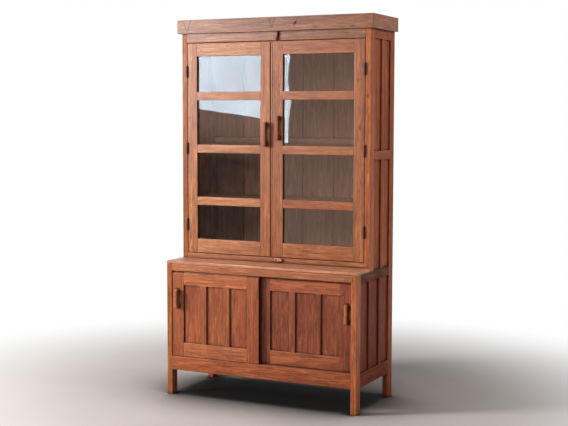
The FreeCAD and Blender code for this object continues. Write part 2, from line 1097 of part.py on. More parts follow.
def hinge_leaf(x0, z, own, holes):
    """One leaf with its knuckles, and with holes for the pin and the screws."""
    leaf = leaf_plate(x0, z)
    for z0, z1 in knuckle_segments(z, own):
        start = Vector(-hinge_axis_x, hinge_axis_y, z0)
        barrel = rod(knuckle_radius, barrel_sides, z1 - z0, start, Z_AXIS)
        web = box(x0, x0 + leaf_thickness, hinge_axis_y, upper_face + overrun, z0, z1)
        leaf = leaf.fuse([barrel, web])
    return leaf.removeSplitter().cut(holes)


def hinge_pin(z):
    """The pin of one hinge, as long as the post's knuckles reach."""
    segments = knuckle_segments(z, 0)
    bottom = segments[0][0]
    top = segments[-1][1]
    start = Vector(-hinge_axis_x, hinge_axis_y, bottom)
    return rod(pin_radius, hinge_pin_sides, top - bottom, start, Z_AXIS)


def running_bore(z):
    """The round bore of the door's knuckles, a running fit on the pin."""
    start = Vector(-hinge_axis_x, hinge_axis_y, z - hinge_length)
    return Part.makeCylinder(pin_radius + running_clearance, 2 * hinge_length, start, Z_AXIS)


def flat_screw(start, direction):
    """A countersunk screw whose head starts at a face and points along a direction."""
    head = tapered_rod(
        screw_head_radius, screw_shank_radius, screw_sides, leaf_thickness, start, direction
    )
    shank_start = start + direction * leaf_thickness
    shank_length = screw_length - leaf_thickness
    shank = rod(screw_shank_radius, screw_sides, shank_length, shank_start, direction)
    return head.fuse(shank)


def post_screw(z, rise):
    """A screw of the post's leaf of the left door."""
    start = Vector(
        post_leaf_x() + leaf_thickness,
        upper_face + leaf_width - screw_row_inset,
        z + rise,
    )
    return flat_screw(start, Vector(-1, 0, 0))


def door_screw(z, rise):
    """A screw of the left door's own leaf."""
    start = Vector(door_leaf_x(), upper_face + leaf_width - screw_row_inset, z + rise)
    return flat_screw(start, Vector(1, 0, 0))


def post_hinge_leaves():
    """The post's half of each hinge."""
    found = []
    for z in hinge_levels():
        screws = [post_screw(z, s) for s in screw_levels()]
        found.append(hinge_leaf(post_leaf_x(), z, 0, [hinge_pin(z)] + screws))
    return Part.makeCompound(both_sides(found))


def hinge_pins():
    """The hinge pins, fixed in the post's knuckles; the door's knuckle turns on them."""
    return Part.makeCompound(both_sides([hinge_pin(z) for z in hinge_levels()]))


def post_hinge_screws():
    """The screws of the posts' hinge leaves."""
    found = [post_screw(z, s) for z in hinge_levels() for s in screw_levels()]
    return Part.makeCompound(both_sides(found))


def door_hinge_leaves():
    """The left door's half of each hinge."""
    found = []
    for z in hinge_levels():
        screws = [door_screw(z, s) for s in screw_levels()]
        found.append(hinge_leaf(door_leaf_x(), z, 1, [running_bore(z)] + screws))
    return found


def door_hinge_screws():
    """The screws of the left door's hinge leaves."""
    return [door_screw(z, s) for z in hinge_levels() for s in screw_levels()]


# Glazed doors, each described by the x planes of its two outer edges


def pane_levels():
    """Lower and upper level of each clear pane opening, from the lowest up."""
    found = []
    for i in range(glazing_panes):
        low = glazed_bottom + i * bar_pitch + glazing_bar_height / 2
        high = glazed_bottom + (i + 1) * bar_pitch - glazing_bar_height / 2
        if i == 0:
            low = glazed_bottom + glazed_bottom_rail_height
        if i == glazing_panes - 1:
            high = glazed_top - glazed_top_rail_height
        found.append((low, high))
    return found


def pane_rebates(x0, x1):
    """The glass rebates cut from the back between two stile edges."""
    found = []
    for z0, z1 in pane_levels():
        found.append(
            box(
                x0 - rebate_width,
                x1 + rebate_width,
                upper_face + rebate_lip,
                glazed_back + overrun,
                z0 - rebate_width,
                z1 + rebate_width,
            )
        )
    return found


def door_tenon(x_face, direction, z0, z1, length, slack):
    """A tenon of a door rail or bar, from the stile's inner edge into the stile."""
    reach = x_face + direction * (length + slack)
    y0 = upper_face + rebate_lip
    return box(
        min(x_face, reach),
        max(x_face, reach),
        y0,
        y0 + glazed_tenon_thickness,
        z0 + rebate_width,
        z1 - rebate_width,
    )


def cross_members():
    """Level and tenon length of each rail and bar of a glazed door, from the lowest up."""
    levels = pane_levels()
    found = [(glazed_bottom, levels[0][0], glazed_tenon_length)]
    for lower, upper in zip(levels[:-1], levels[1:]):
        found.append((lower[1], upper[0], bar_tenon_length))
    found.append((levels[-1][1], glazed_top, glazed_tenon_length))
    return found


def glazed_stile(x0, x1, inner_direction):
    """A stile of a glazed door; its inner edge faces along inner_direction."""
    stile = box(x0, x1, upper_face, glazed_back, glazed_bottom, glazed_top)
    stile = eased(stile, Z_AXIS, FRONTWARD)
    inner_x = x1 if inner_direction > 0 else x0
    cuts = pane_rebates(inner_x, inner_x)
    for z0, z1, length in cross_members():
        cuts.append(door_tenon(inner_x, -inner_direction, z0, z1, length, mortise_slack))
    return stile.cut(cuts)


def glazed_cross_member(x0, x1, member):
    """A rail or bar of a glazed door between the two stiles' inner edges."""
    z0, z1, length = member
    body = box(x0, x1, upper_face, glazed_back, z0, z1)
    body = eased(body, X_AXIS, FRONTWARD)
    tenons = [door_tenon(x0, -1, z0, z1, length, 0), door_tenon(x1, 1, z0, z1, length, 0)]
    return body.fuse(tenons).cut(pane_rebates(x0, x1))


def glazed_rails(x0, x1):
    """Top and bottom rail of a glazed door."""
    members = cross_members()
    return Part.makeCompound([glazed_cross_member(x0, x1, m) for m in (members[0], members[-1])])


def glazing_bars(x0, x1):
    """The horizontal glazing bars of a glazed door."""
    members = cross_members()[1:-1]
    return Part.makeCompound([glazed_cross_member(x0, x1, m) for m in members])


def glass_panes(x0, x1):
    """The panes, each against the front lip of its rebate."""
    found = []
    bite = rebate_width - panel_slack
    y0 = upper_face + rebate_lip
    for z0, z1 in pane_levels():
        found.append(box(x0 - bite, x1 + bite, y0, y0 + glass_thickness, z0 - bite, z1 + bite))
    return Part.makeCompound(found)


def glass_beads(x0, x1):
    """Four straight beads behind each pane, mitre-free, pinned in the rebate."""
    found = []
    y0 = upper_face + rebate_lip + glass_thickness
    y1 = y0 + bead_depth
    left = x0 - rebate_width
    right = x1 + rebate_width
    for z0, z1 in pane_levels():
        low = z0 - rebate_width
        high = z1 + rebate_width
        found.append(box(left, right, y0, y1, low, low + bead_width))
        found.append(box(left, right, y0, y1, high - bead_width, high))
        found.append(box(left, left + bead_width, y0, y1, low + bead_width, high - bead_width))
        found.append(box(right - bead_width, right, y0, y1, low + bead_width, high - bead_width))
    return Part.makeCompound(found)


def left_opening():
    """The inner edges of the left glazed door's stiles."""
    return left_door_start + glazed_stile_width, left_door_end - glazed_stile_width


def right_opening():
    """The inner edges of the right glazed door's stiles."""
    inner = right_door_start + edge_bead_width + quirk_width + glazed_stile_width
    return inner, right_door_end - glazed_stile_width


def left_hinge_stile():
    """Outer stile of the left glazed door, with the hinge gains and screw holes."""
    stile = glazed_stile(left_door_start, left_opening()[0], 1)
    cuts = [door_leaf_gain(z) for z in hinge_levels()]
    return stile.cut(cuts + door_hinge_screws())


def right_hinge_stile():
    """Outer stile of the right glazed door, with the hinge gains and screw holes."""
    stile = glazed_stile(right_opening()[1], right_door_end, -1)
    cuts = [mirrored(door_leaf_gain(z)) for z in hinge_levels()]
    return stile.cut(cuts + [mirrored(s) for s in door_hinge_screws()])


def left_meeting_stile():
    """Inner stile of the left glazed door."""
    return glazed_stile(left_opening()[1], left_door_end, -1)


def right_meeting_stile():
    """Inner stile of the right glazed door, with a bead worked on its meeting edge."""
    stile = glazed_stile(right_door_start, right_opening()[0], 1)
    quirk_x = right_door_start + edge_bead_width
    quirk = box(
        quirk_x,
        quirk_x + quirk_width,
        upper_face - overrun,
        upper_face + quirk_depth,
        glazed_bottom - overrun,
        glazed_top + overrun,
    )
    bead_back = upper_face + edge_bead_radius
    blank = box(
        right_door_start - overrun,
        quirk_x,
        upper_face - overrun,
        bead_back,
        glazed_bottom - overrun,
        glazed_top + overrun,
    )
    core = box(
        right_door_start,
        quirk_x,
        upper_face,
        bead_back + edge_bead_radius,
        glazed_bottom - overrun,
        glazed_top + overrun,
    )
    edges = [e for e in long_edges(core, Z_AXIS) if e.Vertexes[0].Point.y < bead_back]
    core = core.makeFillet(edge_bead_radius, edges)
    return stile.cut([quirk, blank.cut(core)])


# Handles


def bar_handle(x_middle, face_y, z_middle, length):
    """A wooden bar handle on two feet, standing out from a door's face."""
    z0 = z_middle - length / 2
    z1 = z_middle + length / 2
    x0 = x_middle - handle_width / 2
    x1 = x_middle + handle_width / 2
    front = face_y - handle_projection
    body = box(x0, x1, front, face_y, z0, z1)
    outer = [e for e in long_edges(body, X_AXIS) if e.Vertexes[0].Point.y < front + arris]
    body = body.makeFillet(handle_corner_radius, outer)
    gap = box(
        x0 - overrun,
        x1 + overrun,
        front + handle_bar_thickness,
        face_y + overrun,
        z0 + handle_foot_length,
        z1 - handle_foot_length,
    )
    corners = [e for e in long_edges(gap, X_AXIS) if e.Vertexes[0].Point.y < face_y]
    gap = gap.makeFillet(handle_corner_radius, corners)
    return body.cut(gap)


def left_glazed_handle():
    """Handle on the meeting stile of the left glazed door."""
    x = left_door_end - glazed_handle_inset - handle_width / 2
    z = glazed_bottom + left_glazed_handle_share * glazed_height
    return bar_handle(x, upper_face, z, glazed_handle_length)


def right_glazed_handle():
    """Handle on the meeting stile of the right glazed door."""
    inner = right_opening()[0]
    x = inner - glazed_handle_inset - handle_width / 2
    z = glazed_bottom + right_glazed_handle_share * glazed_height
    return bar_handle(x, upper_face, z, glazed_handle_length)


def left_sliding_handle():
    """Handle on the outer stile of the left sliding door."""
    x = left_sliding_span()[0] + left_sliding_handle_inset
    z = sliding_bottom + left_sliding_handle_share * sliding_height
    return bar_handle(x, front_door_plane, z, sliding_handle_length)


def right_sliding_handle():
    """Handle on the outer stile of the right sliding door."""
    x = right_sliding_span()[1] - right_sliding_handle_inset
    z = sliding_bottom + right_sliding_handle_share * sliding_height
    return bar_handle(x, rear_door_plane, z, sliding_handle_length)


# Sliding doors


def left_sliding_span():
    """The outer edges of the left sliding door."""
    start = -inner_half_width + door_side_gap
    return start, start + left_sliding_width


def right_sliding_span():
    """The outer edges of the right sliding door."""
    end = inner_half_width - door_side_gap
    return end - right_sliding_width, end


def sliding_opening():
    """Lower and upper level of the sliding doors' panel openings."""
    return sliding_bottom + sliding_bottom_rail_height, sliding_top - sliding_top_rail_height


def door_tongues(x0, x1, plane):
    """The tongues above and below a piece of a sliding door."""
    y0 = plane + tongue_inset
    y1 = y0 + tongue_thickness
    upper = box(x0, x1, y0, y1, sliding_top, sliding_top + tongue_up)
    lower = box(x0, x1, y0, y1, sliding_bottom - tongue_down, sliding_bottom)
    return upper, lower


def sliding_tenon(x_face, direction, plane, z0, z1, slack):
    """A tenon of a sliding door's rail, into the stile."""
    reach = x_face + direction * (sliding_tenon_length + slack)
    y0 = plane + tongue_inset
    return box(
        min(x_face, reach),
        max(x_face, reach),
        y0,
        y0 + tongue_thickness,
        z0 + tenon_shoulder + sliding_groove_depth,
        z1 - tenon_shoulder - sliding_groove_depth,
    )


def panel_slot(x0, x1, plane, z0, z1):
    """The slot of a sliding door's panel between two x and two z planes."""
    y0 = plane + panel_recess
    return box(x0, x1, y0, y0 + sliding_panel_thickness, z0, z1)


def sliding_stiles(span, plane):
    """The two stiles of a sliding door, with sockets, grooves and their tongue ends."""
    low, high = sliding_opening()
    found = []
    for x0, direction in ((span[0], -1), (span[1] - sliding_stile_width, 1)):
        x1 = x0 + sliding_stile_width
        inner_x = x1 if direction < 0 else x0
        stile = box(x0, x1, plane, plane + sliding_door_thickness, sliding_bottom, sliding_top)
        stile = eased(stile, Z_AXIS, FRONTWARD)
        stile = stile.fuse(list(door_tongues(x0 + arris, x1 - arris, plane)))
        slot_end = inner_x + direction * sliding_groove_depth
        slot_low = low - sliding_groove_depth
        slot_high = high + sliding_groove_depth
        cuts = [
            sliding_tenon(inner_x, direction, plane, sliding_bottom, low, mortise_slack),
            sliding_tenon(inner_x, direction, plane, high, sliding_top, mortise_slack),
            panel_slot(min(inner_x, slot_end), max(inner_x, slot_end), plane, slot_low, slot_high),
        ]
        found.append(stile.cut(cuts))
    return Part.makeCompound(found)


def sliding_rails(span, plane):
    """Top and bottom rail of a sliding door with tenons, groove and tongue."""
    low, high = sliding_opening()
    x0 = span[0] + sliding_stile_width
    x1 = span[1] - sliding_stile_width
    upper_tongue, lower_tongue = door_tongues(x0, x1, plane)
    found = []
    for z0, z1, tongue, slot_edge in (
        (high, sliding_top, upper_tongue, high),
        (sliding_bottom, low, lower_tongue, low - sliding_groove_depth),
    ):
        rail = box(x0, x1, plane, plane + sliding_door_thickness, z0, z1)
        rail = eased(rail, X_AXIS, FRONTWARD)
        tenons = [
            sliding_tenon(x0, -1, plane, z0, z1, 0),
            sliding_tenon(x1, 1, plane, z0, z1, 0),
        ]
        slot = panel_slot(x0, x1, plane, slot_edge, slot_edge + sliding_groove_depth)
        found.append(rail.fuse(tenons + [tongue]).cut(slot))
    return Part.makeCompound(found)


def sliding_clear_width(span):
    """The clear width of each panel opening of a sliding door."""
    run = span[1] - span[0] - 2 * sliding_stile_width
    return (run - (sliding_panels - 1) * sliding_muntin_width) / sliding_panels


def sliding_muntins(span, plane):
    """The muntins of a sliding door, stub-tenoned into the rails' grooves."""
    low, high = sliding_opening()
    clear = sliding_clear_width(span)
    z0 = low - sliding_groove_depth
    z1 = high + sliding_groove_depth
    found = []
    for i in range(sliding_panels - 1):
        start = span[0] + sliding_stile_width + (i + 1) * clear + i * sliding_muntin_width
        end = start + sliding_muntin_width
        body = box(start, end, plane, plane + sliding_door_thickness, low, high)
        body = eased(body, Z_AXIS, FRONTWARD)
        stub = panel_slot(start, end, plane, z0, z1)
        slots = [
            panel_slot(start, start + sliding_groove_depth, plane, z0, z1),
            panel_slot(end - sliding_groove_depth, end, plane, z0, z1),
        ]
        found.append(body.fuse(stub).cut(slots))
    return Part.makeCompound(found)


def sliding_door_panels(span, plane):
    """The flat recessed panels of a sliding door."""
    low, high = sliding_opening()
    clear = sliding_clear_width(span)
    bite = sliding_groove_depth - panel_slack
    found = []
    for i in range(sliding_panels):
        start = span[0] + sliding_stile_width + i * (clear + sliding_muntin_width)
        found.append(panel_slot(start - bite, start + clear + bite, plane, low - bite, high + bite))
    return Part.makeCompound(found)


# Turn buttons


def top_button_pivot():
    """Height of the top button's screw, on the top rail below the crown."""
    return upper_opening_top + top_button_rise


def bottom_button_pivot():
    """Height of the bottom button's screw, on the thin bottom rail."""
    return counter_height + bottom_button_pivot_share * upper_bottom_rail_height


def button_hole(x, z):
    """The room a button's screw takes in its rail."""
    start = Vector(x, upper_face, z)
    return rod(button_screw_radius, barrel_sides, button_screw_grip, start, Y_AXIS)


def button_screw(x, z):
    """A screw with a raised head that a turn button turns on."""
    front = upper_face - button_spacer - button_thickness - button_play
    start = Vector(x, front, z)
    length = upper_face + button_screw_grip - front
    shank = rod(button_screw_radius, barrel_sides, length, start, Y_AXIS)
    head = tapered_rod(
        button_screw_head_radius,
        button_screw_head_radius * button_screw_crown_share,
        barrel_sides,
        button_screw_head_height,
        start,
        FRONTWARD,
    )
    return shank.fuse(head).removeSplitter()


def button_washer(x, z):
    """The spacer that holds a turn button off its rail."""
    thickness = button_spacer - button_play
    start = Vector(x, upper_face - thickness, z)
    disc = rod(button_washer_radius, barrel_sides, thickness, start, Y_AXIS)
    return disc.cut(button_screw(x, z))


def turn_button_pivots():
    """The screw and the spacer washer of each turn button."""
    found = []
    for x, z in ((top_button_x, top_button_pivot()), (bottom_button_x, bottom_button_pivot())):
        found += [button_screw(x, z), button_washer(x, z)]
    return Part.makeCompound(found)


def turn_button(x, z, width, short_arm, long_arm, angle):
    """A wooden button with round ends, pointing up and then turned by an angle."""
    y0 = upper_face - button_spacer - button_thickness
    y1 = upper_face - button_spacer
    radius = width / 2
    arm = X_AXIS * radius
    points = []
    for level, first_turn in ((long_arm - radius, 0), (radius - short_arm, 180)):
        centre = Vector(x, y0, z + level)
        for i in range(button_end_sides + 1):
            turn = Rotation(FRONTWARD, first_turn + i * 180 / button_end_sides)
            points.append(centre + turn.multVec(arm))
    outline = Part.makePolygon(points + [points[0]])
    button = Part.Face(outline).extrude(Y_AXIS * (y1 - y0))
    rim = [e for e in button.Edges if e.BoundBox.YMax < y0 + arris]
    button = button.makeChamfer(button_edge_chamfer, rim)
    bore_radius = button_screw_radius + running_clearance
    bore_start = Vector(x, y0 - overrun, z)
    button = button.cut(Part.makeCylinder(bore_radius, y1 - y0 + 2 * overrun, bore_start, Y_AXIS))
    button.rotate(Vector(x, y0, z), Y_AXIS, angle)
    return button


def top_turn_button():
    """The button on the top rail, turned up clear of the door."""
    return turn_button(
        top_button_x,
        top_button_pivot(),
        top_button_width,
        top_button_short_arm,
        top_button_long_arm,
        top_button_tilt,
    )


def bottom_turn_button():
    """The button on the bottom rail, turned level and clear of the door."""
    return turn_button(
        bottom_button_x,
        bottom_button_pivot(),
        bottom_button_width,
        bottom_button_short_arm,
        bottom_button_long_arm,
        90,
    )


def build():
    """Every sub-part by name."""
    left_x = left_opening()
    right_x = right_opening()
    left_span = left_sliding_span()
    right_span = right_sliding_span()
    return {
        "base_front_post_left": base_front_post(),
        "base_front_post_right": mirrored(base_front_post()),
        "rear_post_left": rear_post(),
        "rear_post_right": mirrored(rear_post()),
        "base_front_top_rail": base_front_top_rail(),
        "base_front_bottom_rail": base_front_bottom_rail(),
        "sliding_door_tracks": sliding_door_tracks(),
        "belt_rails": Part.makeCompound(both_sides([belt_rail()])),
        "base_side_bottom_rails": Part.makeCompound(both_sides([base_side_bottom_rail()])),
        "upper_side_rails": Part.makeCompound(
            both_sides([upper_side_mid_rail(), upper_side_top_rail()])
        ),
        "side_muntins": all_side_muntins(),
        "side_panels": all_side_panels(),
        "base_floor": base_floor(),
        "counter_board": counter_board(),
        "back_rails": back_rails(),
        "back_boards": back_boards(),
        "upper_front_post_left": upper_front_post(),
        "upper_front_post_right": mirrored(upper_front_post()),
        "upper_front_top_rail": upper_front_top_rail(),
        "upper_front_bottom_rail": upper_front_bottom_rail(),
        "rail_pegs": rail_pegs(),
        "top_board": top_board(),
        "crown_boards": crown_boards(),
        "crown_nails": Part.makeCompound(crown_nail_set()),
        "shelves": shelves(),
        "cleats": cleats(),
        "post_hinge_leaves": post_hinge_leaves(),
        "hinge_pins": hinge_pins(),
        "post_hinge_screws": post_hinge_screws(),
        "turn_button_pivots": turn_button_pivots(),
        "top_turn_button": top_turn_button(),
        "bottom_turn_button": bottom_turn_button(),
        "left_glazed_hinge_stile": left_hinge_stile(),
        "left_glazed_meeting_stile": left_meeting_stile(),
        "left_glazed_rails": glazed_rails(*left_x),
        "left_glazed_bars": glazing_bars(*left_x),
        "left_glazed_panes": glass_panes(*left_x),
        "left_glazed_beads": glass_beads(*left_x),
        "left_glazed_handle": left_glazed_handle(),
        "left_glazed_hinge_leaves": Part.makeCompound(door_hinge_leaves()),
        "left_glazed_hinge_screws": Part.makeCompound(door_hinge_screws()),
        "right_glazed_hinge_stile": right_hinge_stile(),
        "right_glazed_meeting_stile": right_meeting_stile(),
        "right_glazed_rails": glazed_rails(*right_x),
        "right_glazed_bars": glazing_bars(*right_x),
        "right_glazed_panes": glass_panes(*right_x),
        "right_glazed_beads": glass_beads(*right_x),
        "right_glazed_handle": right_glazed_handle(),
        "right_glazed_hinge_leaves": mirrored(Part.makeCompound(door_hinge_leaves())),
        "right_glazed_hinge_screws": mirrored(Part.makeCompound(door_hinge_screws())),
        "left_sliding_stiles": sliding_stiles(left_span, front_door_plane),
        "left_sliding_rails": sliding_rails(left_span, front_door_plane),
        "left_sliding_muntins": sliding_muntins(left_span, front_door_plane),
        "left_sliding_panels": sliding_door_panels(left_span, front_door_plane),
        "left_sliding_handle": left_sliding_handle(),
        "right_sliding_stiles": sliding_stiles(right_span, rear_door_plane),
        "right_sliding_rails": sliding_rails(right_span, rear_door_plane),
        "right_sliding_muntins": sliding_muntins(right_span, rear_door_plane),
        "right_sliding_panels": sliding_door_panels(right_span, rear_door_plane),
        "right_sliding_handle": right_sliding_handle(),
    }


os.makedirs("parts", exist_ok=True)
for name, shape in build().items():
    shape.exportStep("parts/" + name + ".step")
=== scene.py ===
import math

import bpy
from mathutils import Matrix, Vector

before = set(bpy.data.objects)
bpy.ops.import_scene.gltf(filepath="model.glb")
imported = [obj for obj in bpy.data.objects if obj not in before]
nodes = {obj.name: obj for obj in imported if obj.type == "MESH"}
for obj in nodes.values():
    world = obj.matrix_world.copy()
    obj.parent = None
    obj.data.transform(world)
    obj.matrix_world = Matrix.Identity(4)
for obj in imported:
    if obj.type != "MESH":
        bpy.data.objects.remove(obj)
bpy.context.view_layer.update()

# A two-stage kitchen cupboard of polished teak: hinged glazed doors above, sliding
# panelled doors below. Metres, in the frame of the model, which stays as it is; the script
# gives it eased and worn edges, wood, glass and iron, and a plain studio.

# The photograph's camera, worked out from the cupboard's corners
camera_place = (2.6452, -5.3757, 1.4458)
camera_yaw = math.radians(25.927)
camera_pitch = math.radians(-4.699)
camera_roll = math.radians(0.115)
camera_lens_mm = 73.75
camera_sensor_mm = 36.0

# The lamps: name, place, width, height, power in watts and tint; all of them aim at one point
lamp_target = (0.0, 0.0, 1.1)
lamps = (
    ("key", (-3.5, -2.8, 1.95), 0.9, 0.9, 262.0, (1.0, 0.98, 0.95)),
    ("front fill", (0.8, -5.4, 3.6), 4.0, 2.4, 78.0, (1.0, 0.98, 0.96)),
    ("side fill", (3.8, 0.5, 2.9), 1.6, 1.6, 40.0, (1.0, 0.97, 0.94)),
)
ambient_tint = (0.94, 0.97, 1.0, 1.0)
ambient_strength = 0.17
white = (1.0, 1.0, 1.0, 1.0)

# The floor: half its side, its two tones, the distances over which it fades to white, and the
# painted shadow that the cupboard casts on it
floor_reach = 30.0
floor_dark_tone = (0.58, 0.535, 0.515, 1.0)
floor_light_tone = (0.68, 0.635, 0.61, 1.0)
floor_tone_noise = {"scale": 1.6, "detail": 4.0}
floor_fade = (0.9, 2.6)
floor_roughness = 0.8
floor_shine = 0.05
floor_shade_reach = 0.50
floor_shade_samples = 16
floor_shade_range = (0.48, 0.97, 0.01, 1.0)

# What the panes mirror, in metres: the window's outline as x and z, and a dim room, whose cards
# are given by their low, high, left and right ends
window_card_y = -4.0
window_outline = (
    (-3.3, 1.585),
    (-2.75, 1.525),
    (-2.10, 1.428),
    (-1.95, 1.40),
    (-1.93, 1.24),
    (-1.83, 1.22),
    (-1.812, 1.48),
    (-1.790, 1.60),
    (-1.830, 1.74),
    (-1.795, 2.05),
    (-1.795, 3.6),
    (-3.3, 3.6),
)
window_strength = 10.5
window_tint = (0.80, 0.91, 1.04, 1.0)
window_patch_scale = 3.0
window_patch_range = (0.35, 0.65, 0.86, 1.10)
room_card_y = -4.05
room_card_span = (-1.0, 4.2, -7.0, 4.0)
side_card_y = 3.2
side_card_span = (-1.0, 3.6, 0.9, 6.0)
room_tint = (1.0, 0.63, 0.50, 1.0)

# The mirrored room's light: left of a span of x it grows with height, right of it it is even
room_left_range = (1.05, 1.40, 0.08, 1.6)
room_right_span = (-2.10, -1.90)
room_right_strength = 1.30

# Eased edges: the reach of joined corners, the rounding, and the turn that counts as an edge
weld_reach = 0.00002
edge_round = 0.0011
edge_segments = 2
edge_angle = math.radians(40)
face_weight = 50

# Worn edges, and dirt with painted shade in corners and gaps: how far each reaches, and the cosines
# between which an edge wears
edge_wear_reach = 0.0045
edge_wear_samples = 6
edge_turn = (0.998, 0.86)
crevice_reach = 0.015
crevice_samples = 4

# Growth rings: their straight spacing, how far they swell into flames, and how sharply they end
ring_spacing = 0.020
ring_swell = 8.0
ring_sharpness = 3.0
ring_line_depth = 0.72
ring_least_share = 0.5

# Noises of the wood: scale along the grain, scale across it, detail and roughness
wood_noises = {
    "flames": (1.3, 24.0, 2.0, 0.45),
    "broad": (1.6, 21.0, 3.0, 0.55),
    "middle": (9.0, 62.0, 4.0, 0.65),
    "streaks": (7.5, 105.0, 5.0, 0.62),
    "fibres": (26.0, 260.0, 3.0, 0.50),
    "pores": (22.0, 420.0, 3.0, 0.50),
}
blotch_noise = {"scale": 7.5, "detail": 6.0, "roughness": 0.72}
rub_noise = {"scale": 34.0, "detail": 3.0}

# How the noises show. A range holds from and to of a noise, then what they are turned into; a
# span holds only from and to.
dark_streak_range = (0.33, 0.49, 0.55, 1.0)
light_streak_range = (0.51, 0.63, 0.0, 0.60)
dark_band_range = (0.34, 0.52, 0.35, 0.0)
light_band_range = (0.50, 0.70, 0.0, 0.40)
ring_band_span = (0.30, 0.70)
blotch_range = (0.50, 0.66, 0.0, 0.38)
fibre_lift_range = (0.36, 0.64, 0.86, 1.14)
band_span = (0.36, 0.64)
band_darkening = 0.22
band_lightening = 0.18
pore_range = (0.56, 0.66, 0.0, 0.55)
pore_depth = 0.6
rub_span = (0.36, 0.58)
rub_least_share = 0.2
rub_gain = 1.20
rub_lift = 0.05
dirt_span = (0.38, 0.94)
gloss_span = (0.3, 0.7)
gloss_swing = (0.08, -0.05)
pore_roughness = 0.08
streak_height = 0.6
pore_height = -0.4
relief_strength = 0.25
relief_depth = 0.0008

# Dark dirt and painted shade are dull: the brightness between which the wood gains its shine, and the
# least share of it
dull_span = (0.012, 0.060)
dull_share = 0.1

# How boards differ: the mix of piece and solid into one value, and what that value changes
piece_stride = 7.31
solid_stride = 5.17
board_step = 19.0
board_lift_range = (0.0, 1.0, 0.90, 1.12)
board_hue_stride = 7.7
board_hue_range = (0.0, 1.0, 0.4965, 0.5025)

# The usual look of a wooden piece; a material names only what differs
usual_wood = {"gloss": 0.32, "shine": 0.30, "bands": 0.6, "figure": 0.75, "wear": 0.75, "dirt": 0.85}

# Wood tones as linear colours: dark streaks, body, light streaks
honey = ((0.125, 0.029, 0.009), (0.330, 0.102, 0.032), (0.470, 0.195, 0.066))
pale_honey = ((0.300, 0.092, 0.042), (0.660, 0.270, 0.152), (0.780, 0.415, 0.235))
bar_honey = ((0.180, 0.052, 0.019), (0.390, 0.145, 0.055), (0.510, 0.240, 0.090))
bright_honey = ((0.220, 0.052, 0.018), (0.460, 0.132, 0.050), (0.590, 0.215, 0.082))
red_honey = ((0.165, 0.038, 0.014), (0.400, 0.128, 0.052), (0.530, 0.222, 0.090))
crown_tan = ((0.085, 0.024, 0.009), (0.245, 0.086, 0.033), (0.395, 0.180, 0.074))
amber = ((0.135, 0.025, 0.008), (0.310, 0.074, 0.022), (0.435, 0.142, 0.040))
amber_rail = ((0.165, 0.036, 0.012), (0.425, 0.120, 0.040), (0.560, 0.205, 0.068))
russet_rail = ((0.125, 0.027, 0.009), (0.350, 0.088, 0.030), (0.480, 0.158, 0.054))
russet = ((0.085, 0.017, 0.006), (0.232, 0.051, 0.018), (0.330, 0.095, 0.033))
umber = ((0.180, 0.040, 0.015), (0.400, 0.104, 0.043), (0.520, 0.165, 0.068))
belt_brown = ((0.055, 0.013, 0.007), (0.110, 0.028, 0.014), (0.160, 0.048, 0.025))
board_brown = ((0.270, 0.125, 0.066), (0.470, 0.244, 0.136), (0.590, 0.335, 0.196))

# Dirt, painted shade, holes and other shades on the wood
corner_dirt = (0.020, 0.008, 0.005, 1.0)
pull_dirt = (0.030, 0.010, 0.006, 1.0)
knot_brown = (0.090, 0.030, 0.014, 1.0)
pip_brown = (0.045, 0.018, 0.010, 1.0)
seam_black = (0.020, 0.010, 0.007, 1.0)
first_board_painted_shade = (0.60, 0.54, 0.50, 1.0)
lower_side_tint = (0.56, 0.40, 0.33, 1.0)
key_line_brown = (0.060, 0.022, 0.012, 1.0)
split_brown = (0.030, 0.010, 0.006, 1.0)

# Knots as across, along and radius, measured on the face's own two axes
crown_knots = ((1.916, 0.048, 0.010), (1.892, 0.163, 0.008), (1.890, 0.358, 0.010))
stile_knots = (
    (0.467, 1.631, 0.007),
    (0.473, 1.399, 0.010),
    (0.031, 1.604, 0.008),
    (-0.481, 0.756, 0.005),
    (0.479, 0.772, 0.005),
)
level_knots = ((1.291, 0.085, 0.005),)
left_bar_knots = ((1.564, -0.316, 0.007),)
left_post_knots = ((-0.514, 1.847, 0.005),)
right_post_knots = ((0.515, 1.552, 0.009), (0.514, 1.849, 0.005), (0.512, 0.663, 0.005))
side_knots = ((0.018, 1.692, 0.008),)
sliding_rail_knots = ((0.208, -0.304, 0.006),)
bottom_rail_knots = ((0.190, -0.061, 0.005),)
knot_bend_stretch = 0.35
knot_mark_stretch = 0.6
knot_core_share = 0.35
knot_strength = 0.75

# Small nail holes and pips: how dense they are, the radii over which they fade, their strength
pip_scale = 24.0
pip_edge = (0.050, 0.085)
pip_strength = 0.75

# Centres of the four pulls as x and z, how far the grime and painted shadow behind them reach, and its
# soft rim
pull_places = ((-0.0365, 1.359), (0.0345, 1.391), (-0.469, 0.5065), (0.474, 0.4904))
pull_grime_and_shade_half = (0.0085, 0.052)
pull_grime_and_shade_rim = (0.003, 0.004)
pull_grime_and_shade_strength = 0.9

# Painted shade on edges that face sideways, and how far the door openings reach from the middle
side_edge_shade_range = (0.70, 0.95, 0.0, 0.85)
opening_reach = 0.460
opening_rim = 0.002

# Seams between the boards of the back, and the rim of the painted shade on its first board
back_seams = (-0.332, -0.154, 0.024, 0.202, 0.380)
seam_half = 0.0030
seam_rim = 0.0014
first_board_rim = 0.001

# The heights between which the sides turn darker towards the base
side_shade_heights = (0.650, 0.700)

# Wedge keys in the crown's front: centre, half width at the top, height of the foot
crown_key_top = 1.950
crown_key_places = ((-0.494, 0.023, 1.884), (0.001, 0.019, 1.893))
crown_key_line = (0.0014, 0.0036, 0.85, 0.0)

# A slanting split in the crown's front: its middle as x and z, half width, half height and slant
crown_split_middle = (0.130, 1.915)
crown_split_half = (0.0075, 0.018)
crown_split_slant = 0.58
crown_split_range = (0.6, 1.1, 0.95, 0.0)

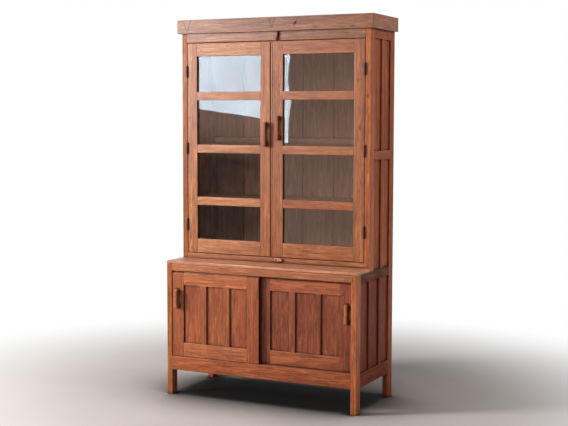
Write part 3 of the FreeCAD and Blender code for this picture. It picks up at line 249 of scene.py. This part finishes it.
# Old iron
hinge_black = (0.012, 0.010, 0.009)
screw_grey = (0.060, 0.052, 0.046)
iron_bloom_brown = (0.060, 0.030, 0.018, 1.0)
iron_bloom_noise = {"scale": 160.0, "detail": 4.0, "roughness": 0.6}
iron_bloom_range = (0.48, 0.75, 0.0, 0.7)
iron_roughness_range = (0.3, 0.7, 0.55, 0.80)
iron_relief_strength = 0.3
iron_relief_depth = 0.0003
iron_metallic = 0.15
iron_shine = 0.2

# Window glass and the dust on it
glass_tint = (0.985, 0.990, 0.985, 1.0)
glass_index = 1.52
glass_roughness = 0.012
glass_ripple_noise = {"scale": 5.0, "detail": 1.0}
glass_ripple_strength = 0.06
glass_ripple_depth = 0.004
dust_tone = (0.50, 0.45, 0.40, 1.0)
dust_noise = {"scale": 24.0, "detail": 5.0, "roughness": 0.7}
dust_range = (0.35, 0.75, 0.004, 0.035)


# Shader building


def add(tree, kind, values=None, **settings):
    """Adds a shader node; values go to its sockets by name or number, settings to its options."""
    made = tree.nodes.new(kind)
    for key, value in settings.items():
        setattr(made, key, value)
    for key, value in (values or {}).items():
        if isinstance(value, bpy.types.NodeSocket):
            tree.links.new(value, made.inputs[key])
        else:
            made.inputs[key].default_value = value
    return made


def calc(tree, operation, first, second=0.0):
    """One arithmetic step on two values or sockets."""
    return add(tree, "ShaderNodeMath", {0: first, 1: second}, operation=operation).outputs[0]


def remap(tree, value, low, high, to_low=0.0, to_high=1.0, smooth=False):
    """Maps a range of a value onto another, held at its ends."""
    kind = "SMOOTHSTEP" if smooth else "LINEAR"
    values = {"Value": value, "From Min": low, "From Max": high, "To Min": to_low, "To Max": to_high}
    return add(tree, "ShaderNodeMapRange", values, interpolation_type=kind, clamp=True).outputs[0]


def blend(tree, factor, first, second, mode="MIX"):
    """Mixes two colours."""
    values = {0: factor, 6: first, 7: second}
    return add(tree, "ShaderNodeMix", values, data_type="RGBA", blend_type=mode).outputs[2]


def mix_shaders(tree, factor, first, second):
    """Mixes two shaders, given as nodes, and returns the mix as a node."""
    return add(tree, "ShaderNodeMixShader", {0: factor, 1: first.outputs[0], 2: second.outputs[0]})


def colour(rgb, share=1.0):
    """A share of a linear colour, with full opacity."""
    return (share * rgb[0], share * rgb[1], share * rgb[2], 1.0)


def noise(tree, vector, scale=1.0, detail=3.0, roughness=0.5):
    """Noise around a half, as a value."""
    values = {"Vector": vector, "Scale": scale, "Detail": detail, "Roughness": roughness}
    return add(tree, "ShaderNodeTexNoise", values).outputs[0]


def combine(tree, x, y, z):
    """A vector from three values."""
    return add(tree, "ShaderNodeCombineXYZ", {0: x, 1: y, 2: z}).outputs[0]


def split(tree, vector):
    """The three values of a vector."""
    return add(tree, "ShaderNodeSeparateXYZ", {0: vector}).outputs


def model_place(tree):
    """The place in the model's frame."""
    return add(tree, "ShaderNodeTexCoord").outputs["Object"]


def distance_squared(tree, first, second):
    """The sum of two values' squares."""
    return calc(tree, "ADD", calc(tree, "MULTIPLY", first, first), calc(tree, "MULTIPLY", second, second))


def in_range(tree, value, centre, half, rim):
    """One within a half width of a centre, fading out over the rim beyond it."""
    away = calc(tree, "ABSOLUTE", calc(tree, "SUBTRACT", value, centre))
    return remap(tree, away, half, half + rim, 1.0, 0.0)


def empty_material(name):
    """A material with an empty node tree."""
    material = bpy.data.materials.new(name)
    material.use_nodes = True
    material.node_tree.nodes.clear()
    return material, material.node_tree


def new_material(name):
    """A node material with a Principled shader."""
    material, tree = empty_material(name)
    shader = add(tree, "ShaderNodeBsdfPrincipled")
    add(tree, "ShaderNodeOutputMaterial", {"Surface": shader.outputs[0]})
    return material, tree, shader


def edge_mask(tree):
    """One at the worn edges and zero on the flats, and the rounded normal."""
    soft = add(tree, "ShaderNodeBevel", {"Radius": edge_wear_reach}, samples=edge_wear_samples).outputs[0]
    flat = add(tree, "ShaderNodeNewGeometry").outputs["True Normal"]
    together = add(tree, "ShaderNodeVectorMath", {0: soft, 1: flat}, operation="DOT_PRODUCT")
    return remap(tree, together.outputs["Value"], *edge_turn, smooth=True), soft


def crevice_mask(tree, reach, samples):
    """One in the open and towards zero in corners and gaps."""
    shade = add(tree, "ShaderNodeAmbientOcclusion", {"Distance": reach}, samples=samples)
    return shade.outputs["AO"]


def seen_or_mirrored(tree):
    """One for rays from the camera, from gloss and through glass, zero for all others."""
    path = add(tree, "ShaderNodeLightPath").outputs
    seen = calc(tree, "MAXIMUM", path["Is Camera Ray"], path["Is Glossy Ray"])
    return calc(tree, "MAXIMUM", seen, path["Is Transmission Ray"])


# Wood


def grain_axes(tree, grain):
    """Coordinates along and twice across the grain. Grain "XY" follows a board round a corner."""
    x, y, z = split(tree, model_place(tree))
    if grain == "X":
        return x, z, y
    if grain == "Y":
        return y, z, x
    if grain == "ZY":
        return z, y, x
    if grain == "XY":
        return calc(tree, "ADD", x, y), z, z
    return z, x, y


def board_seed(tree):
    """A value that differs from board to board."""
    piece = add(tree, "ShaderNodeObjectInfo").outputs["Random"]
    solid = add(tree, "ShaderNodeNewGeometry").outputs["Random Per Island"]
    piece_part = calc(tree, "MULTIPLY", piece, piece_stride)
    solid_part = calc(tree, "MULTIPLY", solid, solid_stride)
    return calc(tree, "FRACT", calc(tree, "ADD", piece_part, solid_part))


def knot_bend(tree, along, across, knots):
    """Pushes the grain aside around each knot."""
    for knot_across, knot_along, radius in knots:
        away = calc(tree, "SUBTRACT", across, knot_across)
        off = calc(tree, "MULTIPLY", calc(tree, "SUBTRACT", along, knot_along), knot_bend_stretch)
        square = distance_squared(tree, away, off)
        fall = calc(tree, "DIVIDE", radius * radius, calc(tree, "ADD", square, radius * radius))
        across = calc(tree, "ADD", across, calc(tree, "MULTIPLY", fall, radius))
    return across


def knot_mark(tree, body, along, across, knot):
    """Darkens one knot."""
    knot_across, knot_along, radius = knot
    away = calc(tree, "SUBTRACT", across, knot_across)
    off = calc(tree, "MULTIPLY", calc(tree, "SUBTRACT", along, knot_along), knot_mark_stretch)
    distance = calc(tree, "SQRT", distance_squared(tree, away, off))
    core = radius * knot_core_share
    dark = remap(tree, distance, core, radius, knot_strength, 0.0, smooth=True)
    return blend(tree, dark, body, knot_brown)


def pips(tree, body, place):
    """Small dark nail holes and pips scattered over the wood."""
    cells = add(tree, "ShaderNodeTexVoronoi", {"Vector": place, "Scale": pip_scale})
    dot = remap(tree, cells.outputs["Distance"], *pip_edge, pip_strength, 0.0)
    return blend(tree, dot, body, pip_brown)


def grain_noises(tree, place):
    """The wood's noises, each drawn out along the grain."""
    found = {}
    for name, (along, across, detail, roughness) in wood_noises.items():
        scale = (along, across, across)
        drawn = add(tree, "ShaderNodeVectorMath", {0: place, 1: scale}, operation="MULTIPLY")
        found[name] = noise(tree, drawn.outputs[0], detail=detail, roughness=roughness)
    return found


def growth_lines(tree, flames, across):
    """Growth rings in long wavy lines and flames: each fades in and ends in a sharp dark line."""
    straight = calc(tree, "DIVIDE", across, ring_spacing)
    count = calc(tree, "ADD", calc(tree, "MULTIPLY", flames, ring_swell), straight)
    return calc(tree, "POWER", calc(tree, "FRACT", count), ring_sharpness)


def grain_colour(tree, tones, found, lines, figure, place):
    """The wood's own colours: streaks, bands, growth lines and blotches."""
    dark, middle, light = [colour(tone) for tone in tones]
    body = blend(tree, remap(tree, found["streaks"], *dark_streak_range), dark, middle)
    body = blend(tree, remap(tree, found["streaks"], *light_streak_range), body, light)
    body = blend(tree, remap(tree, found["broad"], *dark_band_range), body, dark)
    body = blend(tree, remap(tree, found["broad"], *light_band_range), body, light)
    show = remap(tree, found["broad"], *ring_band_span, ring_least_share * figure, figure)
    body = blend(tree, calc(tree, "MULTIPLY", lines, show), body, colour(tones[0], ring_line_depth))
    blotch = noise(tree, place, **blotch_noise)
    return blend(tree, remap(tree, blotch, *blotch_range), body, dark)


def board_difference(tree, body, seed, found, bands):
    """Makes boards, bands and fibres lighter or darker, and boards redder or yellower."""
    low, high = 1.0 - band_darkening * bands, 1.0 + band_lightening * bands
    band = remap(tree, found["middle"], *band_span, low, high)
    lift = calc(tree, "MULTIPLY", remap(tree, seed, *board_lift_range), band)
    lift = calc(tree, "MULTIPLY", lift, remap(tree, found["fibres"], *fibre_lift_range))
    turn = calc(tree, "FRACT", calc(tree, "MULTIPLY", seed, board_hue_stride))
    values = {"Hue": remap(tree, turn, *board_hue_range), "Value": lift, "Color": body}
    return add(tree, "ShaderNodeHueSaturation", values).outputs[0]


def worn_edges(tree, body, tones, wear, place):
    """Rubs the edges pale, and returns the colour and the rounded normal."""
    worn, soft_normal = edge_mask(tree)
    rub = noise(tree, place, **rub_noise)
    worn = calc(tree, "MULTIPLY", worn, remap(tree, rub, *rub_span, rub_least_share * wear, wear))
    rubbed = [min(1.0, rub_gain * value + rub_lift) for value in tones[2]]
    return blend(tree, worn, body, colour(rubbed)), soft_normal


def polish(tree, shader, body, found, soft_normal, look):
    """Links colour, waxed gloss and fine relief; dark dirt and painted shade are duller than clean wood.
    """
    tree.links.new(body, shader.inputs["Base Color"])
    gloss = look["gloss"]
    roughest, smoothest = gloss + gloss_swing[0], gloss + gloss_swing[1]
    streak_rough = remap(tree, found["streaks"], *gloss_span, roughest, smoothest)
    rough = calc(tree, "ADD", streak_rough, calc(tree, "MULTIPLY", found["pores"], pore_roughness))
    tree.links.new(rough, shader.inputs["Roughness"])
    streak_rise = calc(tree, "MULTIPLY", found["streaks"], streak_height)
    height = calc(tree, "ADD", streak_rise, calc(tree, "MULTIPLY", found["pores"], pore_height))
    relief = {"Strength": relief_strength, "Distance": relief_depth}
    relief.update({"Height": height, "Normal": soft_normal})
    tree.links.new(add(tree, "ShaderNodeBump", relief).outputs[0], shader.inputs["Normal"])
    brightness = add(tree, "ShaderNodeRGBToBW", {0: body}).outputs[0]
    shine = look["shine"]
    dull = remap(tree, brightness, *dull_span, dull_share * shine, shine)
    tree.links.new(dull, shader.inputs["Specular IOR Level"])


def wood(name, grain, tones, knots=(), marks=None, **changes):
    """Polished teak with its grain along an axis.

    Knots are (across, along, radius). Marks is a function that adds what only these pieces
    have. Changes are values that differ from the usual look.
    """
    look = {**usual_wood, **changes}
    material, tree, shader = new_material(name)
    open_place = model_place(tree)
    along, straight_across, depth = grain_axes(tree, grain)
    across = knot_bend(tree, along, straight_across, knots)
    seed = board_seed(tree)
    step = calc(tree, "MULTIPLY", seed, board_step)
    place = combine(tree, calc(tree, "ADD", along, step), calc(tree, "ADD", across, step), depth)
    found = grain_noises(tree, place)
    lines = growth_lines(tree, found["flames"], across)
    body = grain_colour(tree, tones, found, lines, look["figure"], open_place)
    body = board_difference(tree, body, seed, found, look["bands"])
    body = blend(tree, remap(tree, found["pores"], *pore_range), body, colour(tones[0], pore_depth))
    body = pips(tree, body, open_place)
    for knot in knots:
        body = knot_mark(tree, body, along, straight_across, knot)
    if marks:
        body = marks(tree, body)
    body, soft_normal = worn_edges(tree, body, tones, look["wear"], open_place)
    # Dirt and painted shade: the wood turns darker where corners and gaps close in round it
    corners = crevice_mask(tree, crevice_reach, crevice_samples)
    body = blend(tree, remap(tree, corners, *dirt_span, look["dirt"], 0.0), body, corner_dirt)
    polish(tree, shader, body, found, soft_normal, look)
    return material


# Marks that only some wooden pieces have


def pull_grime_and_shade(tree, body):
    """The dark rubbed wood behind the door pulls, and the painted shadow that the pulls cast there."""
    x, _, z = split(tree, model_place(tree))
    for centre_x, centre_z in pull_places:
        beside = in_range(tree, x, centre_x, pull_grime_and_shade_half[0], pull_grime_and_shade_rim[0])
        level = in_range(tree, z, centre_z, pull_grime_and_shade_half[1], pull_grime_and_shade_rim[1])
        amount = calc(tree, "MULTIPLY", calc(tree, "MULTIPLY", beside, level), pull_grime_and_shade_strength)
        body = blend(tree, amount, body, pull_dirt)
    return body


def stile_marks(tree, body):
    """Pull grime with painted shadow, and painted shade on the edges that face a pane, a panel or the
    other door.
    """
    body = pull_grime_and_shade(tree, body)
    x = split(tree, model_place(tree))[0]
    # Painted shade: faces turned sideways within the door openings are darkened
    facing = add(tree, "ShaderNodeNewGeometry").outputs["True Normal"]
    sideways = calc(tree, "ABSOLUTE", split(tree, facing)[0])
    edge = remap(tree, sideways, *side_edge_shade_range)
    inside = in_range(tree, x, 0.0, opening_reach, opening_rim)
    return blend(tree, calc(tree, "MULTIPLY", edge, inside), body, corner_dirt)


def board_seams(tree, body):
    """The dark gaps between the boards of the back, and painted shade that darkens its first board."""
    x = split(tree, model_place(tree))[0]
    # Painted shade over the first board, left of the first seam
    first = remap(tree, x, back_seams[0], back_seams[0] + first_board_rim, 1.0, 0.0)
    body = blend(tree, first, body, first_board_painted_shade, "MULTIPLY")
    for seam in back_seams:
        body = blend(tree, in_range(tree, x, seam, seam_half, seam_rim), body, seam_black)
    return body


def lower_side_shade(tree, body):
    """The base's sides are darker and redder than the sides above the belt."""
    z = split(tree, model_place(tree))[2]
    below = remap(tree, z, *side_shade_heights, 1.0, 0.0)
    return blend(tree, below, body, lower_side_tint, "MULTIPLY")


def crown_split(tree, body, x, z):
    """A dark slanting split in the crown's front."""
    rise = calc(tree, "SUBTRACT", z, crown_split_middle[1])
    aside = calc(tree, "SUBTRACT", x, crown_split_middle[0])
    aside = calc(tree, "SUBTRACT", aside, calc(tree, "MULTIPLY", rise, crown_split_slant))
    beside = calc(tree, "DIVIDE", calc(tree, "ABSOLUTE", aside), crown_split_half[0])
    upright = calc(tree, "DIVIDE", calc(tree, "ABSOLUTE", rise), crown_split_half[1])
    dark = remap(tree, calc(tree, "ADD", beside, upright), *crown_split_range)
    return blend(tree, dark, body, split_brown)


def crown_marks(tree, body):
    """A split and the dark outlines of two wedge-shaped keys, all in the crown's front."""
    x, _, z = split(tree, model_place(tree))
    body = crown_split(tree, body, x, z)
    for centre, half_width, foot in crown_key_places:
        up = calc(tree, "SUBTRACT", z, foot)
        spread = calc(tree, "MULTIPLY", up, half_width / (crown_key_top - foot))
        aside = calc(tree, "ABSOLUTE", calc(tree, "SUBTRACT", x, centre))
        gap = calc(tree, "ABSOLUTE", calc(tree, "SUBTRACT", aside, spread))
        line = remap(tree, gap, *crown_key_line)
        above = calc(tree, "GREATER_THAN", up, 0.0)
        body = blend(tree, calc(tree, "MULTIPLY", line, above), body, key_line_brown)
    return body


# Iron and glass


def iron(name, tone):
    """Old blackened iron, dull, with a little brown bloom."""
    material, tree, shader = new_material(name)
    bloom = noise(tree, model_place(tree), **iron_bloom_noise)
    body = blend(tree, remap(tree, bloom, *iron_bloom_range), colour(tone), iron_bloom_brown)
    tree.links.new(body, shader.inputs["Base Color"])
    tree.links.new(remap(tree, bloom, *iron_roughness_range), shader.inputs["Roughness"])
    relief = {"Strength": iron_relief_strength, "Distance": iron_relief_depth, "Height": bloom}
    tree.links.new(add(tree, "ShaderNodeBump", relief).outputs[0], shader.inputs["Normal"])
    shader.inputs["Metallic"].default_value = iron_metallic
    shader.inputs["Specular IOR Level"].default_value = iron_shine
    return material


def window_glass(name):
    """Old window glass: clear straight through, with a mirror image on it and a trace of dust."""
    material, tree = empty_material(name)
    place = model_place(tree)
    ripple = noise(tree, place, **glass_ripple_noise)
    relief = {"Strength": glass_ripple_strength, "Distance": glass_ripple_depth, "Height": ripple}
    bump = add(tree, "ShaderNodeBump", relief).outputs[0]
    clear = add(tree, "ShaderNodeBsdfTransparent", {"Color": glass_tint})
    mirror = add(tree, "ShaderNodeBsdfGlossy", {"Roughness": glass_roughness, "Normal": bump})
    fresnel = add(tree, "ShaderNodeFresnel", {"IOR": glass_index, "Normal": bump})
    pane = mix_shaders(tree, fresnel.outputs[0], clear, mirror)
    dust = add(tree, "ShaderNodeBsdfDiffuse", {"Color": dust_tone})
    amount = remap(tree, noise(tree, place, **dust_noise), *dust_range)
    dusty = mix_shaders(tree, amount, pane, dust)
    add(tree, "ShaderNodeOutputMaterial", {"Surface": dusty.outputs[0]})
    return material


# Finishes of the model's own pieces


def ease_edges(piece):
    """Rounds a wooden piece's edges a little and keeps its faces flat."""
    weld = piece.modifiers.new("join faces", "WELD")
    weld.merge_threshold = weld_reach
    bevel = piece.modifiers.new("eased edges", "BEVEL")
    bevel.width = edge_round
    bevel.segments = edge_segments
    bevel.limit_method = "ANGLE"
    bevel.angle_limit = edge_angle
    flats = piece.modifiers.new("flat faces", "WEIGHTED_NORMAL")
    flats.weight = face_weight


def finish(material, names, rounded=True):
    """Gives nodes a material and, where they are rounded, eased edges."""
    for name in names:
        piece = nodes[name]
        piece.data.materials.clear()
        piece.data.materials.append(material)
        if rounded:
            ease_edges(piece)


def dress_fronts():
    """The crown, the posts, the rails and the counter."""
    crown = wood("crown wood", "XY", crown_tan, crown_knots, crown_marks, shine=0.40, bands=1.0)
    finish(crown, ["crown_boards"], rounded=False)
    # The top rail takes the crown's darker tones, as painted shade under the crown
    top_rail = wood("top rail", "X", crown_tan, shine=0.42, bands=0.9)
    finish(top_rail, ["upper_front_top_rail"])
    left_posts = wood("left posts", "Z", honey, left_post_knots, shine=0.15, bands=0.8)
    finish(left_posts, ["upper_front_post_left", "base_front_post_left"])
    right_posts = wood("right posts", "Z", bright_honey, right_post_knots, shine=0.12, bands=0.8)
    finish(right_posts, ["upper_front_post_right", "base_front_post_right"])
    finish(wood("counter wood", "X", pale_honey, wear=0.9), ["counter_board", "bottom_turn_button"])
    finish(wood("base top rail", "X", red_honey, bands=0.9), ["base_front_top_rail"])
    bottom_rail = wood("bottom rail", "X", amber, bottom_rail_knots, bands=0.9)
    finish(bottom_rail, ["sliding_door_tracks", "base_front_bottom_rail"])
    finish(wood("pegs", "Y", russet), ["rail_pegs"], rounded=False)


def dress_glazed_doors():
    """The two hinged doors, with the thin rail below them and the upper turn button."""
    uprights = wood("upright honey", "Z", honey, stile_knots, stile_marks, shine=0.34, bands=0.8)
    stiles = ["left_glazed_hinge_stile", "left_glazed_meeting_stile"]
    stiles += ["right_glazed_hinge_stile", "right_glazed_meeting_stile"]
    finish(uprights, stiles)
    levels = ["upper_front_bottom_rail", "right_glazed_rails", "right_glazed_bars"]
    levels += ["left_glazed_beads", "right_glazed_beads"]
    finish(wood("level honey", "X", honey, level_knots, shine=0.38, bands=1.0), levels)
    left_bars = wood("left bars", "X", bar_honey, left_bar_knots, shine=0.36, bands=0.9)
    finish(left_bars, ["left_glazed_bars", "left_glazed_rails"])
    pulls = ["left_glazed_handle", "right_glazed_handle", "top_turn_button"]
    finish(wood("pull wood", "Z", russet, dirt=0.9), pulls)
    panes = ["left_glazed_panes", "right_glazed_panes"]
    finish(window_glass("window glass"), panes, rounded=False)


def dress_sliding_doors():
    """The two sliding doors: amber on the left, darker on the right."""
    left = ["left_sliding_stiles", "left_sliding_muntins", "left_sliding_panels"]
    finish(wood("upright amber", "Z", amber, marks=stile_marks, dirt=0.95), left)
    left_rails = wood("left sliding rails", "X", amber_rail, sliding_rail_knots, bands=0.9, wear=1.0)
    finish(left_rails, ["left_sliding_rails"])
    right = ["right_sliding_stiles", "right_sliding_muntins", "right_sliding_panels"]
    finish(wood("upright russet", "Z", russet, marks=stile_marks, dirt=0.95), right)
    right_rails = wood("right sliding rails", "X", russet_rail, bands=0.9, wear=1.0)
    finish(right_rails, ["right_sliding_rails"])
    pulls = ["left_sliding_handle", "right_sliding_handle"]
    finish(wood("sliding pull wood", "Z", amber_rail, wear=1.0), pulls)


def dress_sides():
    """The rear posts, the panelled sides and the dark belt rails."""
    rear = ["rear_post_left", "rear_post_right"]
    finish(wood("rear posts", "ZY", umber, shine=0.05), rear, rounded=False)
    uprights = wood("upright umber", "ZY", umber, side_knots, lower_side_shade, shine=0.05)
    finish(uprights, ["side_muntins", "side_panels"])
    rails = wood("side rails umber", "Y", umber, marks=lower_side_shade, shine=0.05)
    finish(rails, ["upper_side_rails", "base_side_bottom_rails"])
    finish(wood("belt", "Y", belt_brown, shine=0.05), ["belt_rails"])


def dress_inside():
    """The unpolished boards inside: the back, the shelves, the floor and the top."""
    matt = {"gloss": 0.6, "shine": 0.15}
    back_look = {"bands": 0.7, "figure": 0.3, "wear": 0.1}
    back = wood("back boards", "Z", board_brown, marks=board_seams, **back_look, **matt)
    finish(back, ["back_boards"])
    level = wood("inner level boards", "X", board_brown, bands=0.5, figure=0.2, wear=0.15, **matt)
    finish(level, ["back_rails", "shelves", "base_floor", "top_board"])
    finish(wood("cleats", "Y", board_brown, wear=0.1, **matt), ["cleats"])


def dress_fittings():
    """Hinges, nails and screws."""
    hinges = ["post_hinge_leaves", "hinge_pins"]
    hinges += ["left_glazed_hinge_leaves", "right_glazed_hinge_leaves"]
    finish(iron("black iron", hinge_black), hinges, rounded=False)
    screws = ["crown_nails", "post_hinge_screws", "left_glazed_hinge_screws"]
    screws += ["right_glazed_hinge_screws", "turn_button_pivots"]
    finish(iron("screw steel", screw_grey), screws, rounded=False)


# Studio


def flat_sheet(name, corners, material):
    """A flat sheet of the studio."""
    mesh = bpy.data.meshes.new(name)
    mesh.from_pydata(corners, [], [tuple(range(len(corners)))])
    mesh.materials.append(material)
    sheet = bpy.data.objects.new(name, mesh)
    bpy.context.scene.collection.objects.link(sheet)
    return sheet


def floor_material():
    """A pale floor round the cupboard, with a painted shadow under it, that fades into the white
    background further out.
    """
    material, tree = empty_material("studio floor")
    shader = add(tree, "ShaderNodeBsdfPrincipled", {"Roughness": floor_roughness})
    shader.inputs["Specular IOR Level"].default_value = floor_shine
    place = model_place(tree)
    distance = add(tree, "ShaderNodeVectorMath", {0: place}, operation="LENGTH").outputs["Value"]
    tone = noise(tree, place, **floor_tone_noise)
    body = blend(tree, tone, floor_dark_tone, floor_light_tone)
    # Painted shadow: the floor turns darker where the cupboard closes in over it
    shade = crevice_mask(tree, floor_shade_reach, floor_shade_samples)
    under = remap(tree, shade, *floor_shade_range)
    body = blend(tree, 1.0, body, combine(tree, under, under, under), "MULTIPLY")
    tree.links.new(body, shader.inputs["Base Color"])
    backdrop = add(tree, "ShaderNodeEmission", {"Color": white, "Strength": 1.0})
    far = remap(tree, distance, *floor_fade, smooth=True)
    mixed = mix_shaders(tree, calc(tree, "MULTIPLY", far, seen_or_mirrored(tree)), shader, backdrop)
    add(tree, "ShaderNodeOutputMaterial", {"Surface": mixed.outputs[0]})
    return material


def build_floor():
    """The floor, large enough for every view."""
    low, high = -floor_reach, floor_reach
    corners = [(low, low, 0), (high, low, 0), (high, high, 0), (low, high, 0)]
    flat_sheet("floor", corners, floor_material())


def build_world():
    """White where it is seen or mirrored, and a gentle ambient light otherwise."""
    world = bpy.data.worlds.new("studio")
    world.use_nodes = True
    tree = world.node_tree
    tree.nodes.clear()
    ambient = add(tree, "ShaderNodeBackground", {"Color": ambient_tint, "Strength": ambient_strength})
    backdrop = add(tree, "ShaderNodeBackground", {"Color": white, "Strength": 1.0})
    mixed = mix_shaders(tree, seen_or_mirrored(tree), ambient, backdrop)
    add(tree, "ShaderNodeOutputWorld", {"Surface": mixed.outputs[0]})
    bpy.context.scene.world = world


def build_lamps():
    """Soft rectangular lamps: a key from the upper left front and two weak fills."""
    for name, place, width, height, power, tint in lamps:
        data = bpy.data.lights.new(name, "AREA")
        data.shape = "RECTANGLE"
        data.size = width
        data.size_y = height
        data.energy = power
        data.color = tint
        lamp = bpy.data.objects.new(name, data)
        bpy.context.scene.collection.objects.link(lamp)
        aim = Vector(lamp_target) - Vector(place)
        turn = aim.to_track_quat("-Z", "Y").to_matrix().to_4x4()
        lamp.matrix_world = Matrix.Translation(place) @ turn


def card_material(name, tint):
    """A material that only gives off light; returns its node tree and its emission too."""
    material, tree = empty_material(name)
    glow = add(tree, "ShaderNodeEmission", {"Color": tint})
    add(tree, "ShaderNodeOutputMaterial", {"Surface": glow.outputs[0]})
    return material, tree, glow


def window_card_material():
    """Bright daylight on a pale wall, a little uneven."""
    material, tree, glow = card_material("window card", window_tint)
    patch = noise(tree, model_place(tree), scale=window_patch_scale)
    strength = calc(tree, "MULTIPLY", remap(tree, patch, *window_patch_range), window_strength)
    tree.links.new(strength, glow.inputs["Strength"])
    return material


def room_card_material():
    """A dim brown room, lighter at the left near the window's foot."""
    material, tree, glow = card_material("room card", room_tint)
    x, _, z = split(tree, model_place(tree))
    right = remap(tree, x, *room_right_span)
    rest = calc(tree, "SUBTRACT", 1.0, right)
    left_light = calc(tree, "MULTIPLY", remap(tree, z, *room_left_range), rest)
    right_light = calc(tree, "MULTIPLY", right, room_right_strength)
    tree.links.new(calc(tree, "ADD", left_light, right_light), glow.inputs["Strength"])
    return material


def reflection_card(name, corners, material):
    """A studio card that only shows in reflections."""
    card = flat_sheet(name, corners, material)
    card.visible_camera = False
    card.visible_diffuse = False
    card.visible_shadow = False
    card.visible_transmission = False


def card_corners(span, y):
    """The corners of an upright card from its low, high, left and right ends."""
    low, high, left, right = span
    return [(left, y, low), (right, y, low), (right, y, high), (left, y, high)]


def build_cards():
    """What the panes and the polish mirror: a window high on the left and a dim room."""
    window = [(x, window_card_y, z) for x, z in window_outline]
    reflection_card("window card", window, window_card_material())
    reflection_card("room card", card_corners(room_card_span, room_card_y), room_card_material())
    reflection_card("side card", card_corners(side_card_span, side_card_y), room_card_material())


def build_camera():
    """The camera at the photograph's place."""
    data = bpy.data.cameras.new("camera")
    data.sensor_width = camera_sensor_mm
    data.lens = camera_lens_mm
    camera = bpy.data.objects.new("camera", data)
    bpy.context.scene.collection.objects.link(camera)
    turn = Matrix.Rotation(camera_yaw, 4, "Z")
    tilt = Matrix.Rotation(math.radians(90) + camera_pitch, 4, "X")
    roll = Matrix.Rotation(camera_roll, 4, "Z")
    camera.matrix_world = Matrix.Translation(camera_place) @ turn @ tilt @ roll
    bpy.context.scene.camera = camera


dress_fronts()
dress_glazed_doors()
dress_sliding_doors()
dress_sides()
dress_inside()
dress_fittings()
build_floor()
build_world()
build_lamps()
build_cards()
build_camera()
bpy.context.scene.view_settings.view_transform = "Standard"
